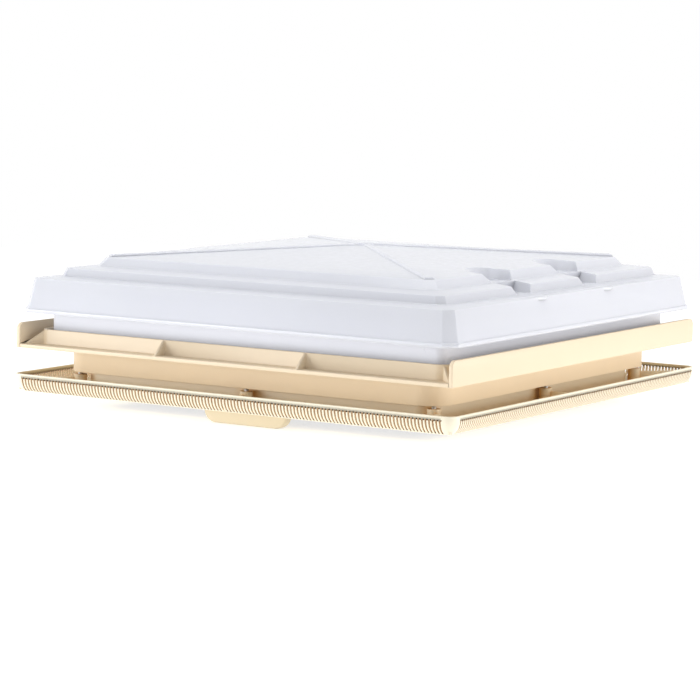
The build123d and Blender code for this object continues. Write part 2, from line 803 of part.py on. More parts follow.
    # Each pin: name, place along Y, height, head face, shank end, and washer face if it has one
    pins = (
        ("frame_pivot", -arm_pivot_place, frame_pivot_height, frame_rail_outer, frame_pivot_end, None),
        ("dome_pivot", -arm_pivot_place, dome_pivot_height, dome_web_inner, dome_pivot_end, None),
        (
            "frame_arm_slider",
            slider_far,
            slider_height,
            frame_arm_outer,
            inner_washer - pin_washer_height,
            inner_washer,
        ),
        (
            "dome_arm_slider",
            slider_far,
            frame_pivot_height,
            dome_arm_inner,
            outer_washer + pin_washer_height,
            outer_washer,
        ),
        ("scissor_rivet", middle_place, middle_height, frame_arm_outer, rivet_end, rivet_end),
    )
    for pin_name, y, z, head_face, shank_end, washer_face in pins:
        towards = 1 if shank_end > head_face else -1
        with BuildPart() as pin:
            with BuildSketch(Plane.YZ.offset(side * head_face)):
                with Locations((y, z)):
                    Circle(pin_head_radius)
            extrude(amount=-side * towards * pin_head_height)
            with BuildSketch(Plane.YZ.offset(side * head_face)):
                with Locations((y, z)):
                    Circle(pin_radius)
            extrude(amount=side * (shank_end - head_face))
            if washer_face is not None:
                with BuildSketch(Plane.YZ.offset(side * washer_face)):
                    with Locations((y, z)):
                        Circle(pin_washer_radius if "slider" in pin_name else pin_head_radius)
                extrude(amount=side * towards * pin_washer_height)
        finish(pin.part, f"{pin_name}_{hand}")

# Handles on the two sides that face along Y: a bracket, a pin and a lever that swings inwards
handle_pivot_height = dome_ceiling - handle_pivot_drop
ear_inner = handle_top_half_width + handle_ear_gap
for side, hand in zip(sides, ("front", "rear")):
    pivot_y = side * handle_place
    with BuildPart() as bracket:
        with BuildSketch(Plane.XY.offset(dome_ceiling)):
            with Locations((0, pivot_y)):
                base_width = 2 * (ear_inner + handle_ear_thickness + handle_base_margin)
                Rectangle(base_width, 2 * handle_base_half_depth)
        extrude(amount=-handle_base_height)
        vertical_edges = bracket.edges().filter_by(Axis.Z)
        fillet(vertical_edges, handle_base_height)
        for across in sides:
            with BuildSketch(Plane.YZ.offset(across * ear_inner)):
                with Locations((pivot_y, handle_pivot_height)):
                    Circle(handle_ear_radius)
                with Locations((pivot_y, (handle_pivot_height + dome_ceiling) / 2)):
                    Rectangle(2 * handle_ear_radius, handle_pivot_drop)
            extrude(amount=across * handle_ear_thickness)
        with BuildSketch(Plane.YZ.offset(-ear_inner - handle_ear_thickness)):
            with Locations((pivot_y, handle_pivot_height)):
                Circle(pin_radius + running_gap)
        extrude(amount=2 * (ear_inner + handle_ear_thickness), mode=Mode.SUBTRACT)
        with BuildSketch(Plane.XY.offset(dome_ceiling)):
            with Locations(*[(x, y) for x, y in bracket_screws_at if y * side > 0]):
                Circle(rail_screw_radius + running_gap)
        extrude(amount=-handle_base_height, mode=Mode.SUBTRACT)
    finish(bracket.part, f"handle_bracket_{hand}")

    # Lever: a barrel round the pin, a plate with a finger window, and two noses at its back
    with BuildPart() as handle:
        handle_bottom = handle_pivot_height - handle_length
        handle_shoulder = handle_pivot_height - handle_ear_radius - 2 * handle_ear_gap
        with BuildSketch(Plane.XZ.offset(-pivot_y)):
            with BuildLine():
                Polyline(
                    (-handle_top_half_width, handle_pivot_height),
                    (-handle_top_half_width, handle_shoulder),
                    (-handle_bottom_half_width, handle_bottom),
                    (handle_bottom_half_width, handle_bottom),
                    (handle_top_half_width, handle_shoulder),
                    (handle_top_half_width, handle_pivot_height),
                    close=True,
                )
            make_face()
            fillet(vertices().group_by(Axis.Y)[0], handle_corner)
            with Locations((0, handle_bottom + handle_window_rise)):
                SlotOverall(handle_window_width, handle_window_height, mode=Mode.SUBTRACT)
        extrude(amount=handle_thickness / 2, both=True)
        rims = handle.faces().filter_by(Axis.Y).edges()
        fillet(rims, handle_thickness / 4)
        with BuildSketch(Plane.YZ.offset(-handle_top_half_width)):
            with Locations((pivot_y, handle_pivot_height)):
                Circle(handle_barrel_radius)
        extrude(amount=2 * handle_top_half_width)
        nose_face = side * (collar_inner_half - keeper_thickness - nose_gap)
        nose_middle = handle_pivot_height - handle_nose_drop
        for across in sides:
            with BuildSketch(Plane.YZ.offset(across * handle_nose_place)):
                with BuildLine():
                    Polyline(
                        (pivot_y, nose_middle + handle_nose_height),
                        (nose_face, nose_middle + handle_nose_height / 4),
                        (nose_face, nose_middle - handle_nose_height / 2),
                        (pivot_y, nose_middle - handle_nose_height / 2),
                        close=True,
                    )
                make_face()
            extrude(amount=handle_nose_half_width, both=True)
        with BuildSketch(Plane.YZ.offset(-handle_top_half_width)):
            with Locations((pivot_y, handle_pivot_height)):
                Circle(pin_radius + running_gap)
        extrude(amount=2 * handle_top_half_width, mode=Mode.SUBTRACT)
    finish(handle.part, f"handle_{hand}")

    handle_pin_plane = Plane.YZ.offset(-ear_inner - handle_ear_thickness)
    with BuildPart() as handle_pin:
        with BuildSketch(handle_pin_plane):
            with Locations((pivot_y, handle_pivot_height)):
                Circle(pin_radius)
        extrude(amount=2 * (ear_inner + handle_ear_thickness))
        with BuildSketch(handle_pin_plane):
            with Locations((pivot_y, handle_pivot_height)):
                Circle(pin_head_radius)
        extrude(amount=-pin_head_height)
    finish(handle_pin.part, f"handle_pin_{hand}")

finish(screws(bracket_screws_at, dome_ceiling - handle_base_height, 1), "handle_bracket_screws")

# Keepers on the collar, beside the handles' noses
with BuildPart() as handle_keepers:
    for side in sides:
        with BuildSketch(Plane.XZ.offset(-side * collar_inner_half)):
            with Locations((0, collar_top - keeper_drop + keeper_height / 2)):
                RectangleRounded(2 * keeper_half_width, keeper_height, keeper_thickness)
        extrude(amount=side * keeper_thickness)
finish(handle_keepers.part, "handle_keepers")

# Fly screen frame: a flat ring with a locating lip, snap ribs, hinge ears and the pull tab
with BuildPart() as flyscreen_frame:
    extrude(
        square_ring(screen_half, screen_inner_half, screen_corner, screen_bottom),
        amount=screen_thickness,
    )
    lip_corner = screen_corner - screen_half + screen_lip_half
    extrude(
        square_ring(screen_lip_half, screen_lip_half - screen_lip_wall, lip_corner, screen_bottom),
        amount=screen_lip_height,
    )
    nib_height = screen_bottom + screen_lip_height - 2 * screen_nib_radius
    nib_reach = collar_inner_half - seat_gap - screen_nib_radius
    for place in (-screen_nib_place, screen_nib_place):
        with BuildSketch(Plane.YZ.offset(place)):
            with Locations((-nib_reach, nib_height)):
                Circle(screen_nib_radius)
            with Locations((-(nib_reach + screen_lip_half - screen_lip_wall) / 2, nib_height)):
                Rectangle(nib_reach - screen_lip_half + screen_lip_wall, 2 * screen_nib_radius)
        extrude(amount=screen_nib_length / 2, both=True)
    with BuildSketch(Plane.XZ.offset(tab_front)):
        with Locations((0, screen_top - tab_drop / 2)):
            Rectangle(2 * tab_half_width, tab_drop)
        fillet(vertices().group_by(Axis.Y)[0], tab_corner)
    extrude(amount=-tab_thickness)
    tab_rim = flyscreen_frame.edges().filter_by(
        lambda edge: edge.center().Z < screen_bottom - tab_edge and edge.bounding_box().size.Y < seat_gap
    )
    fillet(tab_rim, tab_edge)
    for side in sides:
        with BuildSketch(Plane.YZ.offset(side * hinge_spread)):
            with Locations((hinge_place, hinge_height)):
                Circle(hinge_radius)
            with Locations(((hinge_place + screen_half - hinge_radius) / 2, hinge_height)):
                Rectangle(hinge_place - screen_half + hinge_radius, 2 * hinge_radius)
            with Locations((hinge_place, hinge_height)):
                Circle(hinge_pin_radius + running_gap, mode=Mode.SUBTRACT)
        extrude(amount=hinge_ear_width / 2, both=True)
finish(flyscreen_frame.part, "flyscreen_frame")

with BuildPart() as screen_hinge_pins:
    pin_length = hinge_ear_width + 2 * (hinge_lug_gap + hinge_lug_width)
    for side in sides:
        with BuildSketch(Plane.YZ.offset(side * hinge_spread)):
            with Locations((hinge_place, hinge_height)):
                Circle(hinge_pin_radius)
        extrude(amount=pin_length / 2, both=True)
finish(screen_hinge_pins.part, "screen_hinge_pins")

# Net: one taut sheet on the ring, held down by a bead in the corner of the lip
net_half = screen_lip_half - screen_lip_wall - net_margin
bead_corner = lip_corner - screen_lip_wall
with BuildPart() as flyscreen_net:
    extrude(square(net_half, bead_corner, screen_top), amount=net_thickness)
finish(flyscreen_net.part, "flyscreen_net")

with BuildPart() as net_bead:
    extrude(
        square_ring(net_half, net_half - bead_width, bead_corner, screen_top + net_thickness),
        amount=bead_height,
    )
finish(net_bead.part, "net_bead")
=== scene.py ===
import json
import math

import bmesh
import bpy
from bpy.props import FloatProperty, FloatVectorProperty, IntProperty, PointerProperty
from mathutils import Matrix, Vector

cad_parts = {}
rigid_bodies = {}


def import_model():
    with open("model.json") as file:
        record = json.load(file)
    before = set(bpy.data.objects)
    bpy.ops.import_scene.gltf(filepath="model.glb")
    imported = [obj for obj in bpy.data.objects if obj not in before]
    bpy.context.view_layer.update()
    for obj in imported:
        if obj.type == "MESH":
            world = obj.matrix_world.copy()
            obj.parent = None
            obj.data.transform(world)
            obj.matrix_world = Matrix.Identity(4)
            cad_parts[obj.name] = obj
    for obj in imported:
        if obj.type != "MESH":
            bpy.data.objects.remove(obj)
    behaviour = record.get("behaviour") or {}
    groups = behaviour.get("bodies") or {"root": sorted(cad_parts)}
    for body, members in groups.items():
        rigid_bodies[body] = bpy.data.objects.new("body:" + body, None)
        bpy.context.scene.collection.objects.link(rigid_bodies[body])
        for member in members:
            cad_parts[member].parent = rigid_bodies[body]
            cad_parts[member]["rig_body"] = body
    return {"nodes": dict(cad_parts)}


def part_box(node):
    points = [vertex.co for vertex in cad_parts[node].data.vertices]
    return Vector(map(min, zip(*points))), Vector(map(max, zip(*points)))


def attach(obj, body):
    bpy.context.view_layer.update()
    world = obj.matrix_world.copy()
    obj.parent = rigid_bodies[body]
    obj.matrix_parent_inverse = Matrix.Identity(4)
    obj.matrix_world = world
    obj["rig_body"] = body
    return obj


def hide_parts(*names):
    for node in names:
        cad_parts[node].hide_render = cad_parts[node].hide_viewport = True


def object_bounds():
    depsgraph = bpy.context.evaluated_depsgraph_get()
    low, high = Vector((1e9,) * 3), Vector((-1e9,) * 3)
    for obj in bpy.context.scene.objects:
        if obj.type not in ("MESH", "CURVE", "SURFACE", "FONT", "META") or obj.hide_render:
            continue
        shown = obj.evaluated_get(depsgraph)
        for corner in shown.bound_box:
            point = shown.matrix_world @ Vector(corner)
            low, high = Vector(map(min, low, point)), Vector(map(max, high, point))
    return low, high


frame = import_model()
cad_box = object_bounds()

bl_info = {
    "name": "Caravan Roof Vent",
    "version": (1, 0, 0),
    "blender": (4, 5, 0),
    "location": "View3D > Sidebar > Roof Vent",
    "description": "Builds a caravan roof vent round its packed frame, piece by piece",
    "category": "Add Mesh",
}

MM = 0.001
QUARTER = math.pi / 2

# Vertices nearer than this are one: on a copied solid, and on a skin that was swept or cut
WELD = 0.001 * MM
SEAM = 0.02 * MM
# Faces that meet at less than this are one flat face
FLAT_ANGLE = math.radians(0.3)

# Places and sizes on the trim, as the frame has them
TRIM_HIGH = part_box("inner_trim")[1]
TRIM_HALF = TRIM_HIGH.x
SKIN = 0.02 * MM
FLOOR_INSET = 0.03 * MM
FLOOR_CORNER = 1.0 * MM
COLLAR_SOFT = 0.6 * MM
COLLAR_TOP = TRIM_HIGH.z
TRIM_RIM_TOP = -23.4 * MM
TRIM_RIM_HEIGHT = 3.2 * MM
TRIM_BOTTOM = -40.0 * MM
TRIM_FLOOR_TOP = -37.5 * MM
TRIM_CURVE = 10.2 * MM
TRIM_CORNER = 10.5 * MM
SLOT_LOW = -39.1 * MM
SLOT_HIGH = -26.7 * MM
COLLAR_HALF = 184.5 * MM
COLLAR_WALL = 2.5 * MM
COLLAR_CORNER = 18.0 * MM
POST_TOP = -24.5 * MM
POST_RADIUS = 5.8 * MM
HEAD_SEAT = -34.9 * MM
SHANK_BORE = 2.3 * MM
CAP_BORE = 4.2 * MM
POST_SOFT = 0.4 * MM
RIB_HEIGHT = 10.0 * MM
RIB_SINK = 0.5 * MM
RIB_SHARE = 0.3
RIB_WIDTH = 3.0 * MM
POST_CORNER = 186.0 * MM
POST_SIDE = 191.7 * MM
LUG_PLACES = (-130.4 * MM, -109.6 * MM, 109.6 * MM, 130.4 * MM)
LUG_CENTRE = (197.0 * MM, -42.9 * MM)
LUG_RADIUS = 2.6 * MM
LUG_BORE = 1.55 * MM
LUG_WIDTH = 4.0 * MM
LUG_SOFT = 0.3 * MM

# The dome's outer form as squares of (half width, corner, height), and what is moulded into it
DOME_PROFILE = [
    (225.95 * MM, 10.0 * MM, 32.0 * MM),
    (225.95 * MM, 10.0 * MM, 35.3 * MM),
    (224.8 * MM, 9.8 * MM, 35.9 * MM),
    (219.0 * MM, 7.5 * MM, 62.8 * MM),
    (201.0 * MM, 7.0 * MM, 64.4 * MM),
    (198.0 * MM, 6.0 * MM, 71.7 * MM),
    (179.0 * MM, 8.5 * MM, 73.8 * MM),
    (173.0 * MM, 8.0 * MM, 81.6 * MM),
    (3.0 * MM, 1.5 * MM, 93.0 * MM),
]
DOME_FOOT = DOME_PROFILE[0][2] + 0.1 * MM
DOME_TOP = DOME_PROFILE[-1][2]
DOME_SOFT = 0.8 * MM
DOME_LEAST_ANGLE = math.radians(12)
DOME_LEAST_LENGTH = 2.0 * MM
RIDGE_FOOT = 168.3 * MM
RIDGE_WIDTH = 9.0 * MM
RIDGE_RISE = 1.4 * MM
RIDGE_FOOT_RISE = 2.3 * MM
RIDGE_DEPTH = 5.0 * MM
RIDGE_BOSS = 7.0 * MM
RIDGE_SOFT = 2.6 * MM
SCOOP_PLACE = 62.0 * MM
SCOOP_CENTRE = 171.0 * MM
SCOOP_RADIUS = 19.0 * MM
SCOOP_SLOPE = 0.75
SCOOP_FLOOR = 73.6 * MM
SCOOP_RISE = 16.0 * MM
CHANNEL_CENTRE = 203.0 * MM
CHANNEL_LENGTH = 42.0 * MM
CHANNEL_HALF = 12.0 * MM
CHANNEL_TOP_HALF = 19.0 * MM
CHANNEL_FLOOR = 64.3 * MM
CHANNEL_RISE = 9.6 * MM
SPOUT_CENTRE = 199.4 * MM
SPOUT_RADIUS = 22.0 * MM
SPOUT_HEIGHT = 3.0 * MM
SPOUT_TOP = 63.4 * MM
SPOUT_SOFT = 0.7 * MM
POSTS = [(x * POST_CORNER, y * POST_CORNER) for x in (-1, 1) for y in (-1, 1)]
POSTS += [(x * POST_SIDE, 0) for x in (-1, 1)] + [(0, y * POST_SIDE) for y in (-1, 1)]


def linear(code):
    """An sRGB hex colour as linear values."""
    shares = [int(code[place:place + 2], 16) / 255 for place in (0, 2, 4)]
    return [s / 12.92 if s <= 0.04045 else ((s + 0.055) / 1.055) ** 2.4 for s in shares]


def colour_property(name, description, code):
    """A colour that the user may change."""
    return FloatVectorProperty(
        name=name,
        description=description,
        default=linear(code),
        size=3,
        min=0,
        max=1,
        subtype="COLOR",
    )


def length_property(name, description, default):
    """A length that the user may change."""
    return FloatProperty(
        name=name, description=description, default=default, precision=5, unit="LENGTH"
    )


class VentSizes(bpy.types.PropertyGroup):
    """Sizes of the pieces that are modelled here."""

    trim_wall: length_property("Trim wall", "Thickness of the trim's slotted wall", 2.2 * MM)
    slot_width: length_property("Slot width", "Width of one ventilation slot", 1.5 * MM)
    slot_pitch: length_property("Slot pitch", "Distance from slot to slot", 3.4 * MM)
    slot_count: IntProperty(name="Slots", description="Slots on each side", default=129)
    fin_rounding: length_property("Fin rounding", "Radius on the edges of the fins", 0.28 * MM)
    rounding: length_property("Mould rounding", "Radius on the edges of moulded pieces", 0.4 * MM)
    bead_rounding: length_property("Bead rounding", "Radius on the net's bead", 0.6 * MM)
    seal_rounding: length_property("Seal rounding", "Radius on the seal's edges", 0.2 * MM)
    metal_rounding: length_property("Metal rounding", "Radius on the edges of metal", 0.2 * MM)
    dome_wall: length_property("Dome wall", "Thickness of the dome's outer skin", 2.5 * MM)
    dome_rounding: length_property("Dome rounding", "Radius on the liner's edges", 0.35 * MM)
    net_pitch: length_property("Net pitch", "Distance from thread to thread of the net", 1.6 * MM)
    net_thread: length_property("Net thread", "Thickness of one thread of the net", 0.35 * MM)
    floor: length_property("Floor", "Side of the floor", 2.8)


class VentColours(bpy.types.PropertyGroup):
    """Colours of the vent and its floor."""

    dome: colour_property("Dome", "Opal acrylic of the dome", "DCDEE6")
    frame: colour_property("Frame", "Moulded plastic of the outer frame", "F3E0C2")
    trim: colour_property("Trim", "Moulded plastic of the inner trim", "FFF6DF")
    # Painted shade: the colours the plastics turn in their hollows and between the fins, where
    # shade falls
    frame_painted_shade: colour_property("Frame recesses", "The frame's plastic in its hollows", "CDC3AE")
    trim_painted_shade: colour_property("Trim recesses", "The trim's plastic in its hollows", "EBB868")
    slot_painted_shade: colour_property("Slot recesses", "The trim's plastic between its fins", "BE823E")
    tab: colour_property("Fly screen", "Moulded plastic of the fly screen's frame", "E6DABF")
    handle: colour_property("Handles", "Moulded plastic of the handles", "EFE2C8")
    rail: colour_property("Rails", "Anodised aluminium of the rails", "C9CBCD")
    arm: colour_property("Arms", "Zinc plated steel of the arms", "BEC2C4")
    pin: colour_property("Pins", "Plated steel of pins and screws", "D2D2CF")
    seal: colour_property("Seal", "Rubber of the dome's seal", "2B2B2D")
    net: colour_property("Net", "Coated fibre of the fly net", "5B5D5E")
    bead: colour_property("Bead", "Rubber cord that holds the net", "4A4A49")
    floor: colour_property("Floor", "Floor and backdrop", "F4F4F4")


def add_node(tree, kind, settings, links):
    """Adds a node to a tree, sets its sockets and properties, and links its inputs."""
    node = tree.nodes.new(kind)
    for key, value in settings.items():
        if isinstance(key, int) or key in node.inputs:
            node.inputs[key].default_value = value
        else:
            setattr(node, key, value)
    for key, output in links.items():
        tree.links.new(output, node.inputs[key])
    return node


def new_material(name):
    """An empty material, and the object coordinates to read patterns from."""
    material = bpy.data.materials.new(name)
    material.use_nodes = True
    tree = material.node_tree
    tree.nodes.clear()
    place = tree.nodes.new("ShaderNodeTexCoord").outputs["Object"]
    return material, tree, place


def tinted(tree, factor, dark, light):
    """A colour between two, by a factor."""
    mix = add_node(
        tree, "ShaderNodeMix", {"data_type": "RGBA", 6: (*dark, 1), 7: (*light, 1)}, {0: factor}
    )
    return mix.outputs[2]


def painted_hollow_shade(tree, base, shade_colour, reach, shades, local):
    """Painted shade: a colour that turns darker in hollows. The reach, in millimetres, is how far a
    wall is felt. The shades are the open shares at which the shade colour ends and the plain one
    begins."""
    hollow = add_node(
        tree,
        "ShaderNodeAmbientOcclusion",
        {"samples": 8, "Distance": reach * MM, "only_local": local},
        {},
    )
    curve = add_node(
        tree,
        "ShaderNodeMapRange",
        {"From Min": shades[0], "From Max": shades[1], "To Min": 0.0, "To Max": 1.0},
        {"Value": hollow.outputs["AO"]},
    )
    mix = add_node(
        tree,
        "ShaderNodeMix",
        {"data_type": "RGBA", 6: (*shade_colour, 1)},
        {0: curve.outputs["Result"], 7: base},
    )
    return mix.outputs[2]


def scaled(colour, share):
    """A colour made darker or lighter."""
    return [min(1.0, value * share) for value in colour]


# The part of a noise pattern's range that most of it lies in
NOISE_LOW, NOISE_HIGH = 0.3, 0.7


def moulded(name, colour, roughness, softness, shade_colour, reach, shades, local=False):
    """Injection-moulded thermoplastic: a fine spark-eroded grain, slow mottling, edges as the mould
    rounds them, and painted shade: a darker colour in hollows, where walls nearby hide the sky."""
    mottling, spread = 55 * MM, 0.03
    # The real grain is near 0.1 mm. It is drawn coarser, as a render can't show it
    grain, relief = 0.7 * MM, 0.02 * MM
    material, tree, place = new_material(name)
    mottle = add_node(
        tree,
        "ShaderNodeTexNoise",
        {"Scale": 1 / mottling, "Detail": 3.0, "Roughness": 0.55},
        {"Vector": place},
    )
    base = tinted(
        tree, mottle.outputs["Fac"], scaled(colour, 1 - spread), scaled(colour, 1 + spread)
    )
    # Painted shade: the colour turns darker in hollows
    base = painted_hollow_shade(tree, base, shade_colour, reach, shades, local)
    pores = add_node(
        tree,
        "ShaderNodeTexNoise",
        {"Scale": 1 / grain, "Detail": 2.0, "Roughness": 0.6},
        {"Vector": place},
    )
    gloss = add_node(
        tree,
        "ShaderNodeMapRange",
        {
            "From Min": NOISE_LOW,
            "From Max": NOISE_HIGH,
            "To Min": roughness - 0.05,
            "To Max": roughness + 0.07,
        },
        {"Value": pores.outputs["Fac"]},
    )
    edge = add_node(tree, "ShaderNodeBevel", {"samples": 4, "Radius": softness * MM}, {})
    bump = add_node(
        tree,
        "ShaderNodeBump",
        {"Strength": 0.5, "Distance": relief},
        {"Height": pores.outputs["Fac"], "Normal": edge.outputs["Normal"]},
    )
    shader = add_node(
        tree,
        "ShaderNodeBsdfPrincipled",
        {"IOR": 1.5, "Metallic": 0.0},
        {
            "Base Color": base,
            "Roughness": gloss.outputs["Result"],
            "Normal": bump.outputs["Normal"],
        },
    )
    add_node(tree, "ShaderNodeOutputMaterial", {}, {"Surface": shader.outputs["BSDF"]})
    return material


def opal_acrylic(name, colour, roughness, glow, milk, crease_shade_share):
    """Thermoformed opal acrylic: a glossy face with a slow waviness, and a milky body that lets
    light spread. The glow is painted light: the sheet gives off a little of its own colour, which
    lightens its shaded side. The creases get painted shade, a darker colour where the sheet sees
    little open sky."""
    waviness, sag, smearing = 70 * MM, 0.25 * MM, 6 * MM
    dark_share, light_share = 0.975, 1.02
    crease_reach, crease_shades = 15, (0.35, 1.0)
    material, tree, place = new_material(name)
    wave = add_node(
        tree,
        "ShaderNodeTexNoise",
        {"Scale": 1 / waviness, "Detail": 2.0, "Roughness": 0.4},
        {"Vector": place},
    )
    base = tinted(
        tree, wave.outputs["Fac"], scaled(colour, dark_share), scaled(colour, light_share)
    )
    # Painted shade: the colour turns darker in the creases
    base = painted_hollow_shade(tree, base, scaled(colour, crease_shade_share), crease_reach, crease_shades, False)
    smear = add_node(
        tree,
        "ShaderNodeTexNoise",
        {"Scale": 1 / smearing, "Detail": 4.0, "Roughness": 0.7},
        {"Vector": place},
    )
    gloss = add_node(
        tree,
        "ShaderNodeMapRange",
        {
            "From Min": NOISE_LOW,
            "From Max": NOISE_HIGH,
            "To Min": roughness - 0.03,
            "To Max": roughness + 0.05,
        },
        {"Value": smear.outputs["Fac"]},
    )
    edge = add_node(tree, "ShaderNodeBevel", {"samples": 4, "Radius": 0.5 * MM}, {})
    bump = add_node(
        tree,
        "ShaderNodeBump",
        {"Strength": 0.35, "Distance": sag},
        {"Height": wave.outputs["Fac"], "Normal": edge.outputs["Normal"]},
    )
    shader = add_node(
        tree,
        "ShaderNodeBsdfPrincipled",
        {
            "IOR": 1.49,
            "Subsurface Weight": milk,
            "Subsurface Radius": (1.0, 1.0, 1.1),
            "Subsurface Scale": 4 * MM,
            # Painted light: the acrylic gives off light in its own colour
            "Emission Strength": glow,
        },
        {
            "Base Color": base,
            "Emission Color": base,
            "Roughness": gloss.outputs["Result"],
            "Normal": bump.outputs["Normal"],
        },
    )
    add_node(tree, "ShaderNodeOutputMaterial", {}, {"Surface": shader.outputs["BSDF"]})
    return material


def metal(name, colour, roughness, grain, stretch):
    """Metal with a fine grain: drawn along the piece where it is stretched, matt and even where it
    isn't. The grain, in millimetres, is coarser than the real one, so that it shows."""
    relief = 0.01 * MM
    dark_share, light_share = 0.9, 1.06
    material, tree, place = new_material(name)
    drawn = add_node(tree, "ShaderNodeMapping", {"Scale": stretch}, {"Vector": place})
    lines = add_node(
        tree,
        "ShaderNodeTexNoise",
        {"Scale": 1 / (grain * MM), "Detail": 3.0, "Roughness": 0.6},
        {"Vector": drawn.outputs["Vector"]},
    )
    base = tinted(
        tree, lines.outputs["Fac"], scaled(colour, dark_share), scaled(colour, light_share)
    )
    gloss = add_node(
        tree,
        "ShaderNodeMapRange",
        {
            "From Min": NOISE_LOW,
            "From Max": NOISE_HIGH,
            "To Min": roughness - 0.07,
            "To Max": roughness + 0.1,
        },
        {"Value": lines.outputs["Fac"]},
    )
    bump = add_node(
        tree,
        "ShaderNodeBump",
        {"Strength": 0.4, "Distance": relief},
        {"Height": lines.outputs["Fac"]},
    )
    shader = add_node(
        tree,
        "ShaderNodeBsdfPrincipled",
        {"Metallic": 1.0},
        {
            "Base Color": base,
            "Roughness": gloss.outputs["Result"],
            "Normal": bump.outputs["Normal"],
        },
    )
    add_node(tree, "ShaderNodeOutputMaterial", {}, {"Surface": shader.outputs["BSDF"]})
    return material


def rubber(name, colour, roughness):
    """Extruded rubber: matt, with a dusty bloom in patches and a fine skin."""
    patches, pores, relief = 14 * MM, 0.5 * MM, 0.03 * MM
    dark_share, light_share = 0.8, 1.5
    material, tree, place = new_material(name)
    bloom = add_node(
        tree,
        "ShaderNodeTexNoise",
        {"Scale": 1 / patches, "Detail": 5.0, "Roughness": 0.65},
        {"Vector": place},
    )
    base = tinted(
        tree, bloom.outputs["Fac"], scaled(colour, dark_share), scaled(colour, light_share)
    )
    skin = add_node(
        tree, "ShaderNodeTexNoise", {"Scale": 1 / pores, "Detail": 2.0}, {"Vector": place}
    )
    bump = add_node(
        tree,
        "ShaderNodeBump",
        {"Strength": 0.5, "Distance": relief},
        {"Height": skin.outputs["Fac"]},
    )
    shader = add_node(
        tree,
        "ShaderNodeBsdfPrincipled",
        {"IOR": 1.52, "Roughness": roughness, "Sheen Weight": 0.1},
        {"Base Color": base, "Normal": bump.outputs["Normal"]},
    )
    add_node(tree, "ShaderNodeOutputMaterial", {}, {"Surface": shader.outputs["BSDF"]})
    return material


def coated_fibre_net(name, colour, pitch, thread):
    """Plain-woven fly net of coated fibre: threads at their real pitch, clear between them."""
    fuzziness, dark_share, light_share = 3 * MM, 0.8, 1.25
    material, tree, place = new_material(name)
    axes = add_node(tree, "ShaderNodeSeparateXYZ", {}, {0: place})
    covers = []
    for axis in ("X", "Y"):
        count = add_node(
            tree, "ShaderNodeMath", {"operation": "MULTIPLY", 1: 1 / pitch}, {0: axes.outputs[axis]}
        )
        phase = add_node(
            tree, "ShaderNodeMath", {"operation": "PINGPONG", 1: 0.5}, {0: count.outputs[0]}
        )
        cover = add_node(
            tree,
            "ShaderNodeMath",
            {"operation": "LESS_THAN", 1: thread / pitch / 2},
            {0: phase.outputs[0]},
        )
        covers.append(cover.outputs[0])
    both = add_node(
        tree, "ShaderNodeMath", {"operation": "MAXIMUM"}, {0: covers[0], 1: covers[1]}
    )
    fuzz = add_node(
        tree, "ShaderNodeTexNoise", {"Scale": 1 / fuzziness, "Detail": 3.0}, {"Vector": place}
    )
    base = tinted(
        tree, fuzz.outputs["Fac"], scaled(colour, dark_share), scaled(colour, light_share)
    )
    shader = add_node(
        tree,
        "ShaderNodeBsdfPrincipled",
        {"Roughness": 0.55, "Sheen Weight": 0.15},
        {"Base Color": base},
    )
    clear = add_node(tree, "ShaderNodeBsdfTransparent", {}, {})
    mix = add_node(
        tree,
        "ShaderNodeMixShader",
        {},
        {0: both.outputs[0], 1: clear.outputs[0], 2: shader.outputs["BSDF"]},
    )
    add_node(tree, "ShaderNodeOutputMaterial", {}, {"Surface": mix.outputs[0]})
    return material


def new_piece(name, bm, material, body, nodes, smooth_angle=32):
    """Writes a mesh out as a finished piece that rides on a body and stands for its nodes."""
    mesh = bpy.data.meshes.new(name)
    bm.to_mesh(mesh)
    bm.free()
    mesh.shade_smooth()
    mesh.set_sharp_from_angle(angle=math.radians(smooth_angle))
    piece = bpy.data.objects.new(name, mesh)
    bpy.context.scene.collection.objects.link(piece)
    mesh.materials.append(material)
    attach(piece, body)
    if nodes:
        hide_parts(*nodes)
    return piece


def body_of(node):
    """The body that a node belongs to."""
    return frame["nodes"][node]["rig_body"]


def edges_of(verts):
    """The edges that meet at some vertices."""
    return list(dict.fromkeys(edge for vert in verts for edge in vert.link_edges))


def round_edges(bm, edges, width, segments, clamped=False):
    """Rounds edges, and returns the vertices of the new faces."""
    made = bmesh.ops.bevel(
        bm,
        geom=edges,
        offset=width,
        segments=segments,
        profile=0.5,
        affect="EDGES",
        clamp_overlap=clamped,
        material=-1,
    )
    return list({vert for face in made["faces"] for vert in face.verts})


def softened(node, width, segments, least_angle=30):
    """A copy of a node's solid, merged, its flat faces made whole and its edges rounded."""
    bm = bmesh.new()
    bm.from_mesh(frame["nodes"][node].data)
    bmesh.ops.remove_doubles(bm, verts=bm.verts, dist=WELD)
    bmesh.ops.dissolve_limit(bm, angle_limit=FLAT_ANGLE, verts=bm.verts, edges=bm.edges)
    sharp = [
        edge for edge in bm.edges
        if edge.is_manifold and edge.calc_face_angle() > math.radians(least_angle)
    ]
    round_edges(bm, sharp, width, segments)
    return bm


def ring(bm, half, corner, height, segments):
    """One square with rounded corners, as a loop of edges at a height."""
    before = set(bm.edges)
    made = bmesh.ops.create_circle(
        bm,
        cap_ends=True,
        segments=4,
        radius=half * math.sqrt(2),
        matrix=Matrix.Translation((0, 0, height)) @ Matrix.Rotation(QUARTER / 2, 4, "Z"),
    )
    bmesh.ops.bevel(
        bm,
        geom=made["verts"],
        offset=corner,
        segments=segments,
        profile=0.5,
        affect="VERTICES",
        material=-1,
    )
    loop = [edge for edge in bm.edges if edge not in before]
    faces = {face for edge in loop for face in edge.link_faces}
    bmesh.ops.delete(bm, geom=list(faces), context="FACES_ONLY")
    return loop


